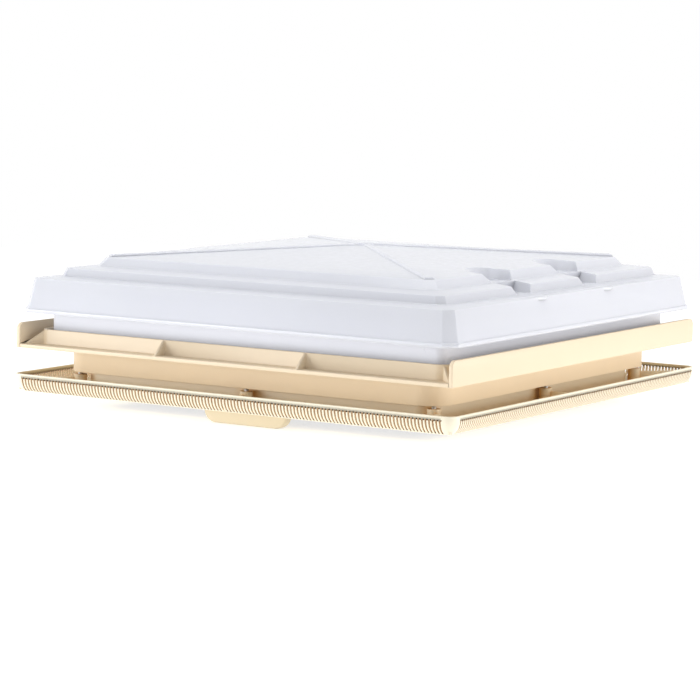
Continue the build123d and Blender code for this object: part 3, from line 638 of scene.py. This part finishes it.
def loft(profile, segments, capped):
    """A skin through square rings of (half width, corner, height), capped at both ends, or with its
    last ring joined to its first."""
    bm = bmesh.new()
    after = profile[1:] if capped else profile[1:] + profile[:1]
    for near, far in zip(profile, after):
        edges = ring(bm, *near, segments) + ring(bm, *far, segments)
        bmesh.ops.bridge_loops(bm, edges=edges)
    bmesh.ops.remove_doubles(bm, verts=bm.verts, dist=WELD)
    if capped:
        bmesh.ops.holes_fill(bm, edges=[edge for edge in bm.edges if edge.is_boundary], sides=0)
    bmesh.ops.recalc_face_normals(bm, faces=bm.faces)
    return bm


def turned(bm, points, steps):
    """A solid turned round the Z axis from a closed outline of (radius, height) points."""
    verts = [bm.verts.new((radius, 0, height)) for radius, height in points]
    edges = [bm.edges.new(pair) for pair in zip(verts, verts[1:] + verts[:1])]
    before = set(bm.faces)
    bmesh.ops.spin(
        bm,
        geom=verts + edges,
        cent=(0, 0, 0),
        axis=(0, 0, 1),
        angle=math.tau,
        steps=steps,
        use_merge=True,
    )
    faces = [face for face in bm.faces if face not in before]
    bmesh.ops.recalc_face_normals(bm, faces=faces)
    return faces


def combined(bm, other, operation):
    """Cuts one closed mesh out of another, or joins the two, with a Boolean modifier."""
    objects = []
    for part in (bm, other):
        mesh = bpy.data.meshes.new("Operand")
        part.to_mesh(mesh)
        part.free()
        holder = bpy.data.objects.new("Operand", mesh)
        bpy.context.scene.collection.objects.link(holder)
        objects.append(holder)
    modifier = objects[0].modifiers.new("Combined", "BOOLEAN")
    modifier.operation = operation
    modifier.object = objects[1]
    modifier.solver = "EXACT"
    modifier.use_self = True
    evaluated = objects[0].evaluated_get(bpy.context.evaluated_depsgraph_get())
    result = bmesh.new()
    result.from_mesh(evaluated.to_mesh())
    for holder in objects:
        bpy.data.meshes.remove(holder.data)
    return result


def dome_form():
    """The dome's outer form as a closed body: skirt, two tiers and the low pyramid."""
    bm = loft(DOME_PROFILE, 1, True)
    long_edges = [
        edge for edge in bm.edges
        if edge.calc_face_angle() > DOME_LEAST_ANGLE and edge.calc_length() > DOME_LEAST_LENGTH
        and all(vert.co.z > DOME_FOOT for vert in edge.verts)
    ]
    round_edges(bm, long_edges, DOME_SOFT, 2, True)
    bmesh.ops.recalc_face_normals(bm, faces=bm.faces)
    return bm


def scoops():
    """The two scoops in the third tier, each with the channel that drains it through the second."""
    bm = bmesh.new()
    for place in (-SCOOP_PLACE, SCOOP_PLACE):
        bmesh.ops.create_cone(
            bm,
            cap_ends=True,
            segments=48,
            radius1=SCOOP_RADIUS,
            radius2=SCOOP_RADIUS + SCOOP_SLOPE * SCOOP_RISE,
            depth=SCOOP_RISE,
            matrix=Matrix.Translation((SCOOP_CENTRE, place, SCOOP_FLOOR + SCOOP_RISE / 2)),
        )
        channel = bmesh.ops.create_cube(bm, size=1)["verts"]
        bmesh.ops.scale(bm, vec=(CHANNEL_LENGTH, 2 * CHANNEL_HALF, CHANNEL_RISE), verts=channel)
        upper = [vert for vert in channel if vert.co.z > 0]
        bmesh.ops.scale(bm, vec=(1, CHANNEL_TOP_HALF / CHANNEL_HALF, 1), verts=upper)
        bmesh.ops.translate(
            bm, vec=(CHANNEL_CENTRE, place, CHANNEL_FLOOR + CHANNEL_RISE / 2), verts=channel
        )
    return bm


def ridge_beads():
    """The raised beads along the pyramid's ridges, the boss where they meet, and the two spouts."""
    bm = bmesh.new()
    run = RIDGE_FOOT * math.sqrt(2)
    fall = math.atan2(DOME_TOP - DOME_PROFILE[-2][2] + RIDGE_RISE - RIDGE_FOOT_RISE, run)
    for quarter in range(4):
        bead = bmesh.ops.create_cube(bm, size=1)["verts"]
        bmesh.ops.scale(bm, vec=(run, RIDGE_WIDTH, RIDGE_DEPTH), verts=bead)
        bmesh.ops.translate(bm, vec=(run / 2, 0, RIDGE_RISE - RIDGE_DEPTH / 2), verts=bead)
        edges = [
            edge for edge in edges_of(bead) if all(vert.co.z > 0 for vert in edge.verts)
        ]
        verts = round_edges(bm, edges, RIDGE_SOFT, 5)
        bead = list(set(verts + [vert for vert in bead if vert.is_valid]))
        bmesh.ops.rotate(bm, cent=(0, 0, 0), matrix=Matrix.Rotation(fall, 3, "Y"), verts=bead)
        turn = Matrix.Rotation(QUARTER * (quarter + 0.5), 3, "Z")
        bmesh.ops.rotate(bm, cent=(0, 0, 0), matrix=turn, verts=bead)
        bmesh.ops.translate(bm, vec=(0, 0, DOME_TOP), verts=bead)
    bmesh.ops.create_cone(
        bm,
        cap_ends=True,
        segments=48,
        radius1=RIDGE_BOSS + RIDGE_DEPTH,
        radius2=RIDGE_BOSS,
        depth=RIDGE_DEPTH,
        matrix=Matrix.Translation((0, 0, DOME_TOP + RIDGE_RISE - RIDGE_DEPTH / 2)),
    )
    for place in (-SCOOP_PLACE, SCOOP_PLACE):
        spout = bmesh.ops.create_cone(
            bm,
            cap_ends=True,
            segments=72,
            radius1=SPOUT_RADIUS,
            radius2=SPOUT_RADIUS,
            depth=SPOUT_HEIGHT,
            matrix=Matrix.Translation((SPOUT_CENTRE, place, SPOUT_TOP - SPOUT_HEIGHT / 2)),
        )["verts"]
        edges = [edge for edge in edges_of(spout) if edge.calc_face_angle() > QUARTER / 2]
        round_edges(bm, edges, SPOUT_SOFT, 2)
    return bm


class VENT_OT_dome(bpy.types.Operator):
    """Builds the dome's outer shell and its liner"""

    bl_idname = "vent.dome"
    bl_label = "Dome"

    def execute(self, context):
        sizes, colours = context.scene.vent_sizes, context.scene.vent_colours
        # Painted light and shade: the shell glows faintly, and its creases are drawn darker
        opal = opal_acrylic(
            "OpalAcrylicThermoformed",
            colours.dome,
            roughness=0.2,
            glow=0.05,
            milk=0.5,
            crease_shade_share=0.6,
        )
        bm = combined(dome_form(), ridge_beads(), "UNION")
        bm = combined(bm, scoops(), "DIFFERENCE")
        foot = [face for face in bm.faces if face.calc_center_median().z < DOME_FOOT]
        bmesh.ops.delete(bm, geom=foot, context="FACES_ONLY")
        bmesh.ops.remove_doubles(bm, verts=bm.verts, dist=SEAM)
        bmesh.ops.recalc_face_normals(bm, faces=bm.faces)
        shell = new_piece("DomeShell", bm, opal, "dome", ["dome_shell"], 25)
        wall = shell.modifiers.new("Wall", "SOLIDIFY")
        wall.thickness = sizes.dome_wall
        wall.offset = -1
        wall.use_even_offset = True
        wall.use_quality_normals = True
        # Painted light and shade: the liner glows more, to lighten it where the skirt shades it,
        # and its creases are drawn a little darker
        milky = opal_acrylic(
            "OpalAcrylicLiner",
            colours.dome,
            roughness=0.3,
            glow=0.2,
            milk=0.1,
            crease_shade_share=0.9,
        )
        bm = softened("dome_liner", sizes.dome_rounding, 2, least_angle=24)
        new_piece("DomeLiner", bm, milky, "dome", ["dome_liner"])
        return {"FINISHED"}


class VENT_OT_outer_frame(bpy.types.Operator):
    """Builds the outer frame"""

    bl_idname = "vent.outer_frame"
    bl_label = "Outer frame"

    def execute(self, context):
        sizes, colours = context.scene.vent_sizes, context.scene.vent_colours
        # Painted shade: the cream turns grey-brown in its hollows, under the flange and on the
        # gussets
        cream = moulded(
            "AbsMouldedCream",
            colours.frame,
            roughness=0.42,
            softness=0.6,
            shade_colour=colours.frame_painted_shade,
            reach=12,
            shades=(0.0, 0.42),
        )
        bm = softened("outer_frame", sizes.rounding, 2)
        new_piece("OuterFrame", bm, cream, body_of("outer_frame"), ["outer_frame"])
        return {"FINISHED"}


def slotted_wall(sizes):
    """The trim's curved wall as one skin: a quarter with its slots, and three more turned round."""
    bm = bmesh.new()
    curve_top = TRIM_RIM_TOP - TRIM_RIM_HEIGHT
    foot = bmesh.ops.create_vert(bm, co=(0, 0, -1))["vert"][0]
    bmesh.ops.spin(
        bm,
        geom=[foot],
        cent=(0, 0, 0),
        axis=(0, 1, 0),
        angle=-QUARTER,
        steps=8,
        use_merge=False,
    )
    bmesh.ops.scale(bm, vec=(TRIM_CURVE, 1, curve_top - TRIM_BOTTOM), verts=bm.verts)
    bmesh.ops.translate(bm, vec=(TRIM_HALF - TRIM_CURVE - SKIN, 0, curve_top), verts=bm.verts)
    top = max(bm.verts, key=lambda vert: vert.co.z)
    rim = bmesh.ops.extrude_vert_indiv(bm, verts=[top])["verts"]
    bmesh.ops.translate(bm, vec=(0, 0, TRIM_RIM_HEIGHT), verts=rim)
    for height in (SLOT_LOW, SLOT_HIGH):
        bmesh.ops.bisect_plane(
            bm,
            geom=bm.verts[:] + bm.edges[:],
            plane_co=(0, 0, height),
            plane_no=(0, 0, 1),
            dist=WELD,
        )
    straight = TRIM_HALF - TRIM_CORNER
    bmesh.ops.translate(bm, vec=(0, -straight, 0), verts=bm.verts)
    margin = straight - sizes.slot_count * sizes.slot_pitch / 2
    fin = sizes.slot_pitch - sizes.slot_width
    steps = [margin + fin / 2] + [sizes.slot_width, fin] * sizes.slot_count
    steps[-1] = margin + fin / 2
    edges = bm.edges[:]
    slots = []
    for index, step in enumerate(steps):
        made = bmesh.ops.extrude_edge_only(bm, edges=edges)["geom"]
        verts = [item for item in made if isinstance(item, bmesh.types.BMVert)]
        faces = [item for item in made if isinstance(item, bmesh.types.BMFace)]
        edges = [
            item for item in made
            if isinstance(item, bmesh.types.BMEdge) and all(vert in verts for vert in item.verts)
        ]
        bmesh.ops.translate(bm, vec=(0, step, 0), verts=verts)
        if index % 2:
            slots += [
                face for face in faces if SLOT_LOW < face.calc_center_median().z < SLOT_HIGH
            ]
    bmesh.ops.spin(
        bm,
        geom=edges,
        cent=(straight, straight, 0),
        axis=(0, 0, 1),
        angle=QUARTER,
        steps=8,
        use_merge=False,
    )
    bmesh.ops.delete(bm, geom=slots, context="FACES")
    bmesh.ops.spin(
        bm,
        geom=bm.verts[:] + bm.edges[:] + bm.faces[:],
        cent=(0, 0, 0),
        axis=(0, 0, 1),
        angle=3 * QUARTER,
        steps=3,
        use_duplicate=True,
        use_merge=False,
    )
    bmesh.ops.remove_doubles(bm, verts=bm.verts, dist=SEAM)
    bmesh.ops.recalc_face_normals(bm, faces=bm.faces)
    bm.faces.ensure_lookup_table()
    outer = max(bm.faces, key=lambda face: face.calc_center_median().x)
    if outer.normal.x < 0:
        bmesh.ops.reverse_faces(bm, faces=bm.faces)
    return bm


def trim_floor():
    """The trim's floor and collar as one closed ring."""
    outer = TRIM_HALF - TRIM_CURVE
    inner = COLLAR_HALF - COLLAR_WALL
    inner_corner = COLLAR_CORNER - COLLAR_WALL
    bottom = TRIM_BOTTOM + FLOOR_INSET
    bm = loft(
        [
            (outer, FLOOR_CORNER, bottom),
            (inner, inner_corner, bottom),
            (inner, inner_corner, COLLAR_TOP),
            (COLLAR_HALF, COLLAR_CORNER, COLLAR_TOP),
            (COLLAR_HALF, COLLAR_CORNER, TRIM_FLOOR_TOP),
            (outer, FLOOR_CORNER, TRIM_FLOOR_TOP),
        ],
        8,
        False,
    )
    top = [
        edge for edge in bm.edges
        if all(vert.co.z > COLLAR_TOP - SEAM for vert in edge.verts)
        and edge.calc_face_angle(0) > QUARTER / 2
    ]
    round_edges(bm, top, COLLAR_SOFT, 2)
    bmesh.ops.recalc_face_normals(bm, faces=bm.faces)
    return bm


def hinge_lug(bm, place):
    """One hinge lug: a round eye for the pin, and the block that joins it to the floor."""
    across, height = LUG_CENTRE
    half = LUG_WIDTH / 2
    faces = turned(
        bm,
        [
            (LUG_BORE, -half),
            (LUG_RADIUS - LUG_SOFT, -half),
            (LUG_RADIUS, LUG_SOFT - half),
            (LUG_RADIUS, half - LUG_SOFT),
            (LUG_RADIUS - LUG_SOFT, half),
            (LUG_BORE, half),
        ],
        24,
    )
    eye = list({vert for face in faces for vert in face.verts})
    bmesh.ops.rotate(bm, cent=(0, 0, 0), matrix=Matrix.Rotation(QUARTER, 3, "Y"), verts=eye)
    block = bmesh.ops.create_cube(bm, size=1)["verts"]
    rise = TRIM_FLOOR_TOP - height - LUG_BORE
    bmesh.ops.scale(bm, vec=(LUG_WIDTH, 2 * LUG_RADIUS, rise), verts=block)
    bmesh.ops.translate(bm, vec=(0, 0, LUG_BORE + rise / 2), verts=block)
    verts = eye + round_edges(bm, edges_of(block), LUG_SOFT, 2)
    bmesh.ops.translate(bm, vec=(place, across, height), verts=verts)


def screw_post(bm, x, y, wall):
    """One post for a clamping screw, and the rib that ties it to the slotted wall."""
    faces = turned(
        bm,
        [
            (CAP_BORE, TRIM_BOTTOM),
            (POST_RADIUS, TRIM_BOTTOM),
            (POST_RADIUS, POST_TOP - POST_SOFT),
            (POST_RADIUS - POST_SOFT, POST_TOP),
            (SHANK_BORE, POST_TOP),
            (SHANK_BORE, HEAD_SEAT),
            (CAP_BORE, HEAD_SEAT),
        ],
        32,
    )
    verts = list({vert for face in faces for vert in face.verts})
    bmesh.ops.translate(bm, vec=(x, y, 0), verts=verts)
    away = math.hypot(x, y)
    reach = (TRIM_HALF - wall - RIB_SHARE * TRIM_CURVE) / max(abs(x), abs(y)) * away
    near = away + (CAP_BORE + POST_RADIUS) / 2
    rib = bmesh.ops.create_cube(bm, size=1)["verts"]
    bmesh.ops.scale(bm, vec=(reach - near, RIB_WIDTH, RIB_HEIGHT + 2 * RIB_SINK), verts=rib)
    bmesh.ops.translate(
        bm, vec=((reach + near) / 2, 0, TRIM_FLOOR_TOP + RIB_HEIGHT / 2 - RIB_SINK), verts=rib
    )
    heading = Matrix.Rotation(math.atan2(y, x), 3, "Z")
    bmesh.ops.rotate(bm, cent=(0, 0, 0), matrix=heading, verts=rib)
    round_edges(bm, edges_of(rib), POST_SOFT, 2)


class VENT_OT_inner_trim(bpy.types.Operator):
    """Builds the inner trim: slotted wall, floor, collar, screw posts and hinge lugs"""

    bl_idname = "vent.inner_trim"
    bl_label = "Inner trim"

    def execute(self, context):
        sizes, colours = context.scene.vent_sizes, context.scene.vent_colours
        # Painted shade: the fins turn brown between them, down in the slots
        finned = moulded(
            "AbsMouldedTanFins",
            colours.trim,
            roughness=0.4,
            softness=0.2,
            shade_colour=colours.slot_painted_shade,
            reach=3,
            shades=(0.2, 0.8),
            local=True,
        )
        bm = slotted_wall(sizes)
        wall = new_piece(
            "TrimSlottedWall", bm, finned, "frame", ["inner_trim"], 40
        )
        thickness = wall.modifiers.new("Wall", "SOLIDIFY")
        thickness.thickness = sizes.trim_wall
        thickness.offset = -1
        thickness.use_even_offset = True
        rounded = wall.modifiers.new("Fin edges", "BEVEL")
        rounded.width = sizes.fin_rounding
        rounded.segments = 1
        rounded.limit_method = "ANGLE"
        rounded.angle_limit = math.radians(50)
        rounded.use_clamp_overlap = False
        rounded.harden_normals = True

        cutters = bmesh.new()
        for x, y in POSTS:
            bmesh.ops.create_cone(
                cutters,
                cap_ends=True,
                segments=32,
                radius1=(POST_RADIUS + CAP_BORE) / 2,
                radius2=(POST_RADIUS + CAP_BORE) / 2,
                depth=4 * (TRIM_FLOOR_TOP - TRIM_BOTTOM),
                matrix=Matrix.Translation((x, y, TRIM_BOTTOM)),
            )
        bm = combined(trim_floor(), cutters, "DIFFERENCE")
        for x, y in POSTS:
            screw_post(bm, x, y, sizes.trim_wall)
        for place in LUG_PLACES:
            hinge_lug(bm, place)
        # Painted shade: the floor and posts are the wall's own plastic drawn 6% darker, and turn
        # golden in the hollows of the tray
        tan = moulded(
            "AbsMouldedTan",
            scaled(colours.trim, 0.94),
            roughness=0.4,
            softness=0.4,
            shade_colour=colours.trim_painted_shade,
            reach=14,
            shades=(0.2, 1.0),
        )
        new_piece("TrimFloorAndPosts", bm, tan, "frame", ["inner_trim"])
        return {"FINISHED"}


class VENT_OT_fly_screen(bpy.types.Operator):
    """Builds the fly screen: its frame with the pull tab, the net and the bead"""

    bl_idname = "vent.fly_screen"
    bl_label = "Fly screen"

    def execute(self, context):
        sizes, colours = context.scene.vent_sizes, context.scene.vent_colours
        # Painted shade: the fly screen's frame is drawn darker in its hollows
        cream = moulded(
            "AbsMouldedPaleCream",
            colours.tab,
            roughness=0.4,
            softness=0.5,
            shade_colour=scaled(colours.tab, 0.7),
            reach=5,
            shades=(0.0, 0.35),
        )
        bm = softened("flyscreen_frame", sizes.rounding, 2, least_angle=40)
        new_piece("FlyScreenFrame", bm, cream, "fly_screen", ["flyscreen_frame"])
        fibre = coated_fibre_net(
            "CoatedFibreWovenNet", colours.net, sizes.net_pitch, sizes.net_thread
        )
        low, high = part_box("flyscreen_net")
        bm = bmesh.new()
        bmesh.ops.create_grid(
            bm,
            x_segments=8,
            y_segments=8,
            size=high.x,
            matrix=Matrix.Translation((0, 0, (low.z + high.z) / 2)),
        )
        net = new_piece("FlyNet", bm, fibre, "fly_screen", ["flyscreen_net"])
        cord = rubber("RubberSplineGrey", colours.bead, roughness=0.6)
        bm = softened("net_bead", sizes.bead_rounding, 3)
        new_piece("NetBead", bm, cord, "fly_screen", ["net_bead"])
        return {"FINISHED"}


# The nodes that keep their solid's form, by the slot of their material
CARRIED = {
    "rail_metal": ["frame_rail_left", "frame_rail_right", "dome_rail_left", "dome_rail_right"],
    "arm_metal": ["frame_arm_left", "frame_arm_right", "dome_arm_left", "dome_arm_right"],
    "pin_metal": [
        "trim_screws", "frame_rail_screws", "dome_rail_screws", "handle_bracket_screws",
        "frame_pivot_left", "frame_pivot_right", "dome_pivot_left", "dome_pivot_right",
        "frame_arm_slider_left", "frame_arm_slider_right", "dome_arm_slider_left",
        "dome_arm_slider_right", "scissor_rivet_left", "scissor_rivet_right",
        "handle_pin_front", "handle_pin_rear", "screen_hinge_pins",
    ],
    "handle_plastic": [
        "handle_bracket_front", "handle_bracket_rear", "handle_front", "handle_rear",
        "handle_keepers",
    ],
}


def piece_name(node):
    """A node's name as the name of the piece that stands for it."""
    return "".join(word.capitalize() for word in node.split("_"))


class VENT_OT_lift(bpy.types.Operator):
    """Dresses the rails, arms, pins and screws of the lift"""

    bl_idname = "vent.lift"
    bl_label = "Lift"

    def execute(self, context):
        sizes, colours = context.scene.vent_sizes, context.scene.vent_colours
        finishes = {
            "rail_metal": metal(
                "AluminiumAnodised",
                colours.rail,
                roughness=0.38,
                grain=0.5,
                stretch=(1, 0.04, 1),
            ),
            "arm_metal": metal(
                "SteelZincPlated", colours.arm, roughness=0.34, grain=0.6, stretch=(1, 0.05, 1)
            ),
            "pin_metal": metal(
                "SteelPlatedTurned", colours.pin, roughness=0.4, grain=0.4, stretch=(1, 1, 1)
            ),
        }
        for slot, finish in finishes.items():
            for node in CARRIED[slot]:
                bm = softened(node, sizes.metal_rounding, 1)
                new_piece(piece_name(node), bm, finish, body_of(node), [node])
        return {"FINISHED"}


class VENT_OT_handles(bpy.types.Operator):
    """Dresses the handles, their brackets, the keepers and the screw caps"""

    bl_idname = "vent.handles"
    bl_label = "Handles and caps"

    def execute(self, context):
        sizes, colours = context.scene.vent_sizes, context.scene.vent_colours
        # Painted shade: the handles turn grey-brown in their hollows
        cream = moulded(
            "AbsMouldedHandle",
            colours.handle,
            roughness=0.38,
            softness=0.5,
            shade_colour=colours.frame_painted_shade,
            reach=8,
            shades=(0.1, 0.5),
        )
        for node in CARRIED["handle_plastic"]:
            bm = softened(node, sizes.rounding, 2)
            new_piece(piece_name(node), bm, cream, body_of(node), [node])
        # Painted shade: the caps turn golden in their hollows
        cap = moulded(
            "PolytheneMouldedCap",
            colours.trim,
            roughness=0.35,
            softness=0.3,
            shade_colour=colours.trim_painted_shade,
            reach=3,
            shades=(0.1, 0.5),
        )
        bm = softened("screw_caps", sizes.rounding, 2)
        new_piece("ScrewCaps", bm, cap, "frame", ["screw_caps"])
        return {"FINISHED"}


class VENT_OT_seal(bpy.types.Operator):
    """Dresses the dome's seal"""

    bl_idname = "vent.seal"
    bl_label = "Seal"

    def execute(self, context):
        sizes, colours = context.scene.vent_sizes, context.scene.vent_colours
        epdm = rubber("EpdmRubberExtruded", colours.seal, roughness=0.7)
        bm = softened("dome_seal", sizes.seal_rounding, 1)
        new_piece("DomeSeal", bm, epdm, "frame", ["dome_seal"])
        return {"FINISHED"}


# The camera: distance, height and turn that the photograph's edges fit
CAMERA_AZIMUTH = math.radians(32.17)
CAMERA_ELEVATION = math.radians(6.5)
CAMERA_ROLL = math.radians(0.99)
CAMERA_DISTANCE = 2610.74 * MM
CAMERA_ASIDE = -12.7 * MM
CAMERA_DROP = 5.54 * MM
CAMERA_LENS = 144.96
SENSOR = 36
CLIP_NEAR, CLIP_FAR = 0.1, 50

# The lamps: name, place, size, power in watts and colour. They aim at one spot in the vent
LAMPS = (
    ("RightLamp", (2.6, 0.95, 0.22), (1.9, 0.6), 32, "FFFCF9"),
    ("LeftLamp", (-2.0, -1.75, 0.2), (1.9, 0.6), 34, "FFFFFF"),
    ("TopLamp", (0.0, 0.0, 1.9), (1.6, 1.6), 21, "FFFFFF"),
)
LAMP_AIM = (0, 0, 0.02)

# How bright the floor and the world are to a ray that sees them, and how much light they give
FLOOR_GAP = 0.3 * MM
FLOOR_SEEN, FLOOR_LIGHT = 0.55, 0.42
WORLD_SEEN, WORLD_LIGHT = 1.0, 0.38


def area_lamp(name, place, size, watts, code):
    """A soft rectangular lamp that points at the vent."""
    lamp = bpy.data.lights.new(name, "AREA")
    lamp.shape = "RECTANGLE"
    lamp.size, lamp.size_y = size
    lamp.energy = watts
    lamp.color = linear(code)
    holder = bpy.data.objects.new(name, lamp)
    holder.location = place
    holder.rotation_mode = "QUATERNION"
    holder.rotation_quaternion = (Vector(LAMP_AIM) - Vector(place)).to_track_quat("-Z", "Y")
    bpy.context.scene.collection.objects.link(holder)


def seen_directly(tree):
    """One for the rays that see the backdrop itself: from the camera, mirrored or let through."""
    path = add_node(tree, "ShaderNodeLightPath", {}, {})
    seen = path.outputs["Is Camera Ray"]
    for kind in ("Is Glossy Ray", "Is Transmission Ray"):
        either = add_node(
            tree, "ShaderNodeMath", {"operation": "MAXIMUM"}, {0: seen, 1: path.outputs[kind]}
        )
        seen = either.outputs[0]
    return seen


def floor_paper(colour):
    """Matt white studio paper. It glows a little, to look even, and is clear from below."""
    fibre_size, dark_share, light_share = 20 * MM, 0.995, 1.005
    material, tree, place = new_material("StudioFloorPaper")
    fibres = add_node(
        tree, "ShaderNodeTexNoise", {"Scale": 1 / fibre_size, "Detail": 3.0}, {"Vector": place}
    )
    base = tinted(
        tree, fibres.outputs["Fac"], scaled(colour, dark_share), scaled(colour, light_share)
    )
    paper = add_node(tree, "ShaderNodeBsdfDiffuse", {}, {"Color": base})
    fronts = []
    for strength in (FLOOR_LIGHT, FLOOR_SEEN):
        glow = add_node(tree, "ShaderNodeEmission", {"Strength": strength}, {})
        front = add_node(
            tree, "ShaderNodeAddShader", {}, {0: paper.outputs[0], 1: glow.outputs[0]}
        )
        fronts.append(front.outputs[0])
    front = add_node(
        tree, "ShaderNodeMixShader", {}, {0: seen_directly(tree), 1: fronts[0], 2: fronts[1]}
    )
    side = add_node(tree, "ShaderNodeNewGeometry", {}, {})
    clear = add_node(tree, "ShaderNodeBsdfTransparent", {}, {})
    mix = add_node(
        tree,
        "ShaderNodeMixShader",
        {},
        {0: side.outputs["Backfacing"], 1: front.outputs[0], 2: clear.outputs[0]},
    )
    add_node(tree, "ShaderNodeOutputMaterial", {}, {"Surface": mix.outputs[0]})
    return material


def studio_world():
    """A white world that looks brighter than it lights."""
    world = bpy.data.worlds.new("StudioWorld")
    world.use_nodes = True
    tree = world.node_tree
    tree.nodes.clear()
    soft, white = [
        add_node(
            tree, "ShaderNodeBackground", {"Color": (1, 1, 1, 1), "Strength": strength}, {}
        )
        for strength in (WORLD_LIGHT, WORLD_SEEN)
    ]
    mix = add_node(
        tree,
        "ShaderNodeMixShader",
        {},
        {0: seen_directly(tree), 1: soft.outputs[0], 2: white.outputs[0]},
    )
    add_node(tree, "ShaderNodeOutputWorld", {}, {"Surface": mix.outputs[0]})
    return world


def product_camera():
    """The camera that sees the vent as the photograph does."""
    azimuth, elevation, roll = CAMERA_AZIMUTH, CAMERA_ELEVATION, CAMERA_ROLL
    back = Vector((
        math.sin(azimuth) * math.cos(elevation),
        -math.cos(azimuth) * math.cos(elevation),
        math.sin(elevation),
    ))
    right = Vector((math.cos(azimuth), math.sin(azimuth), 0))
    up = back.cross(right)
    right_rolled = math.cos(roll) * right + math.sin(roll) * up
    up_rolled = -math.sin(roll) * right + math.cos(roll) * up
    data = bpy.data.cameras.new("ProductCamera")
    data.sensor_width = SENSOR
    data.lens = CAMERA_LENS
    data.clip_start = CLIP_NEAR
    data.clip_end = CLIP_FAR
    camera = bpy.data.objects.new("ProductCamera", data)
    turn = Matrix((right_rolled, up_rolled, back)).transposed().to_4x4()
    spot = right * CAMERA_ASIDE + back * CAMERA_DISTANCE - Vector((0, 0, CAMERA_DROP))
    camera.matrix_world = Matrix.Translation(spot) @ turn
    return camera


class VENT_OT_stage(bpy.types.Operator):
    """Sets the floor, the lamps, the world and the camera"""

    bl_idname = "vent.stage"
    bl_label = "Stage"

    def execute(self, context):
        scene = context.scene
        sizes, colours = scene.vent_sizes, scene.vent_colours
        bm = bmesh.new()
        bmesh.ops.create_grid(
            bm,
            x_segments=1,
            y_segments=1,
            size=sizes.floor / 2,
            matrix=Matrix.Translation((0, 0, cad_box[0].z - FLOOR_GAP)),
        )
        mesh = bpy.data.meshes.new("StudioFloor")
        bm.to_mesh(mesh)
        bm.free()
        mesh.materials.append(floor_paper(colours.floor))
        floor = bpy.data.objects.new("StudioFloor", mesh)
        scene.collection.objects.link(floor)
        scene.world = studio_world()
        for lamp in LAMPS:
            area_lamp(*lamp)
        camera = product_camera()
        scene.collection.objects.link(camera)
        scene.camera = camera
        scene.view_settings.view_transform = "Standard"
        return {"FINISHED"}


class VENT_PT_pieces(bpy.types.Panel):
    """Lists the vent's pieces"""

    bl_label = "Roof Vent"
    bl_space_type = "VIEW_3D"
    bl_region_type = "UI"
    bl_category = "Roof Vent"

    def draw(self, context):
        for operator in OPERATORS:
            self.layout.operator(operator.bl_idname)
        for group in (context.scene.vent_sizes, context.scene.vent_colours):
            for key in group.__annotations__:
                self.layout.prop(group, key)


OPERATORS = (
    VENT_OT_dome,
    VENT_OT_outer_frame,
    VENT_OT_inner_trim,
    VENT_OT_fly_screen,
    VENT_OT_lift,
    VENT_OT_handles,
    VENT_OT_seal,
    VENT_OT_stage,
)
CLASSES = (VentSizes, VentColours, *OPERATORS, VENT_PT_pieces)


def register():
    """Registers the classes and the settings on the scene."""
    for item in CLASSES:
        bpy.utils.register_class(item)
    bpy.types.Scene.vent_sizes = PointerProperty(type=VentSizes)
    bpy.types.Scene.vent_colours = PointerProperty(type=VentColours)


def unregister():
    """Takes the classes and the settings away again."""
    del bpy.types.Scene.vent_colours
    del bpy.types.Scene.vent_sizes
    for item in reversed(CLASSES):
        bpy.utils.unregister_class(item)


def main():
    """Builds the vent and its stage."""
    register()
    bpy.ops.vent.dome()
    bpy.ops.vent.outer_frame()
    bpy.ops.vent.inner_trim()
    bpy.ops.vent.fly_screen()
    bpy.ops.vent.lift()
    bpy.ops.vent.handles()
    bpy.ops.vent.seal()
    bpy.ops.vent.stage()


if __name__ == "__main__":
    main()
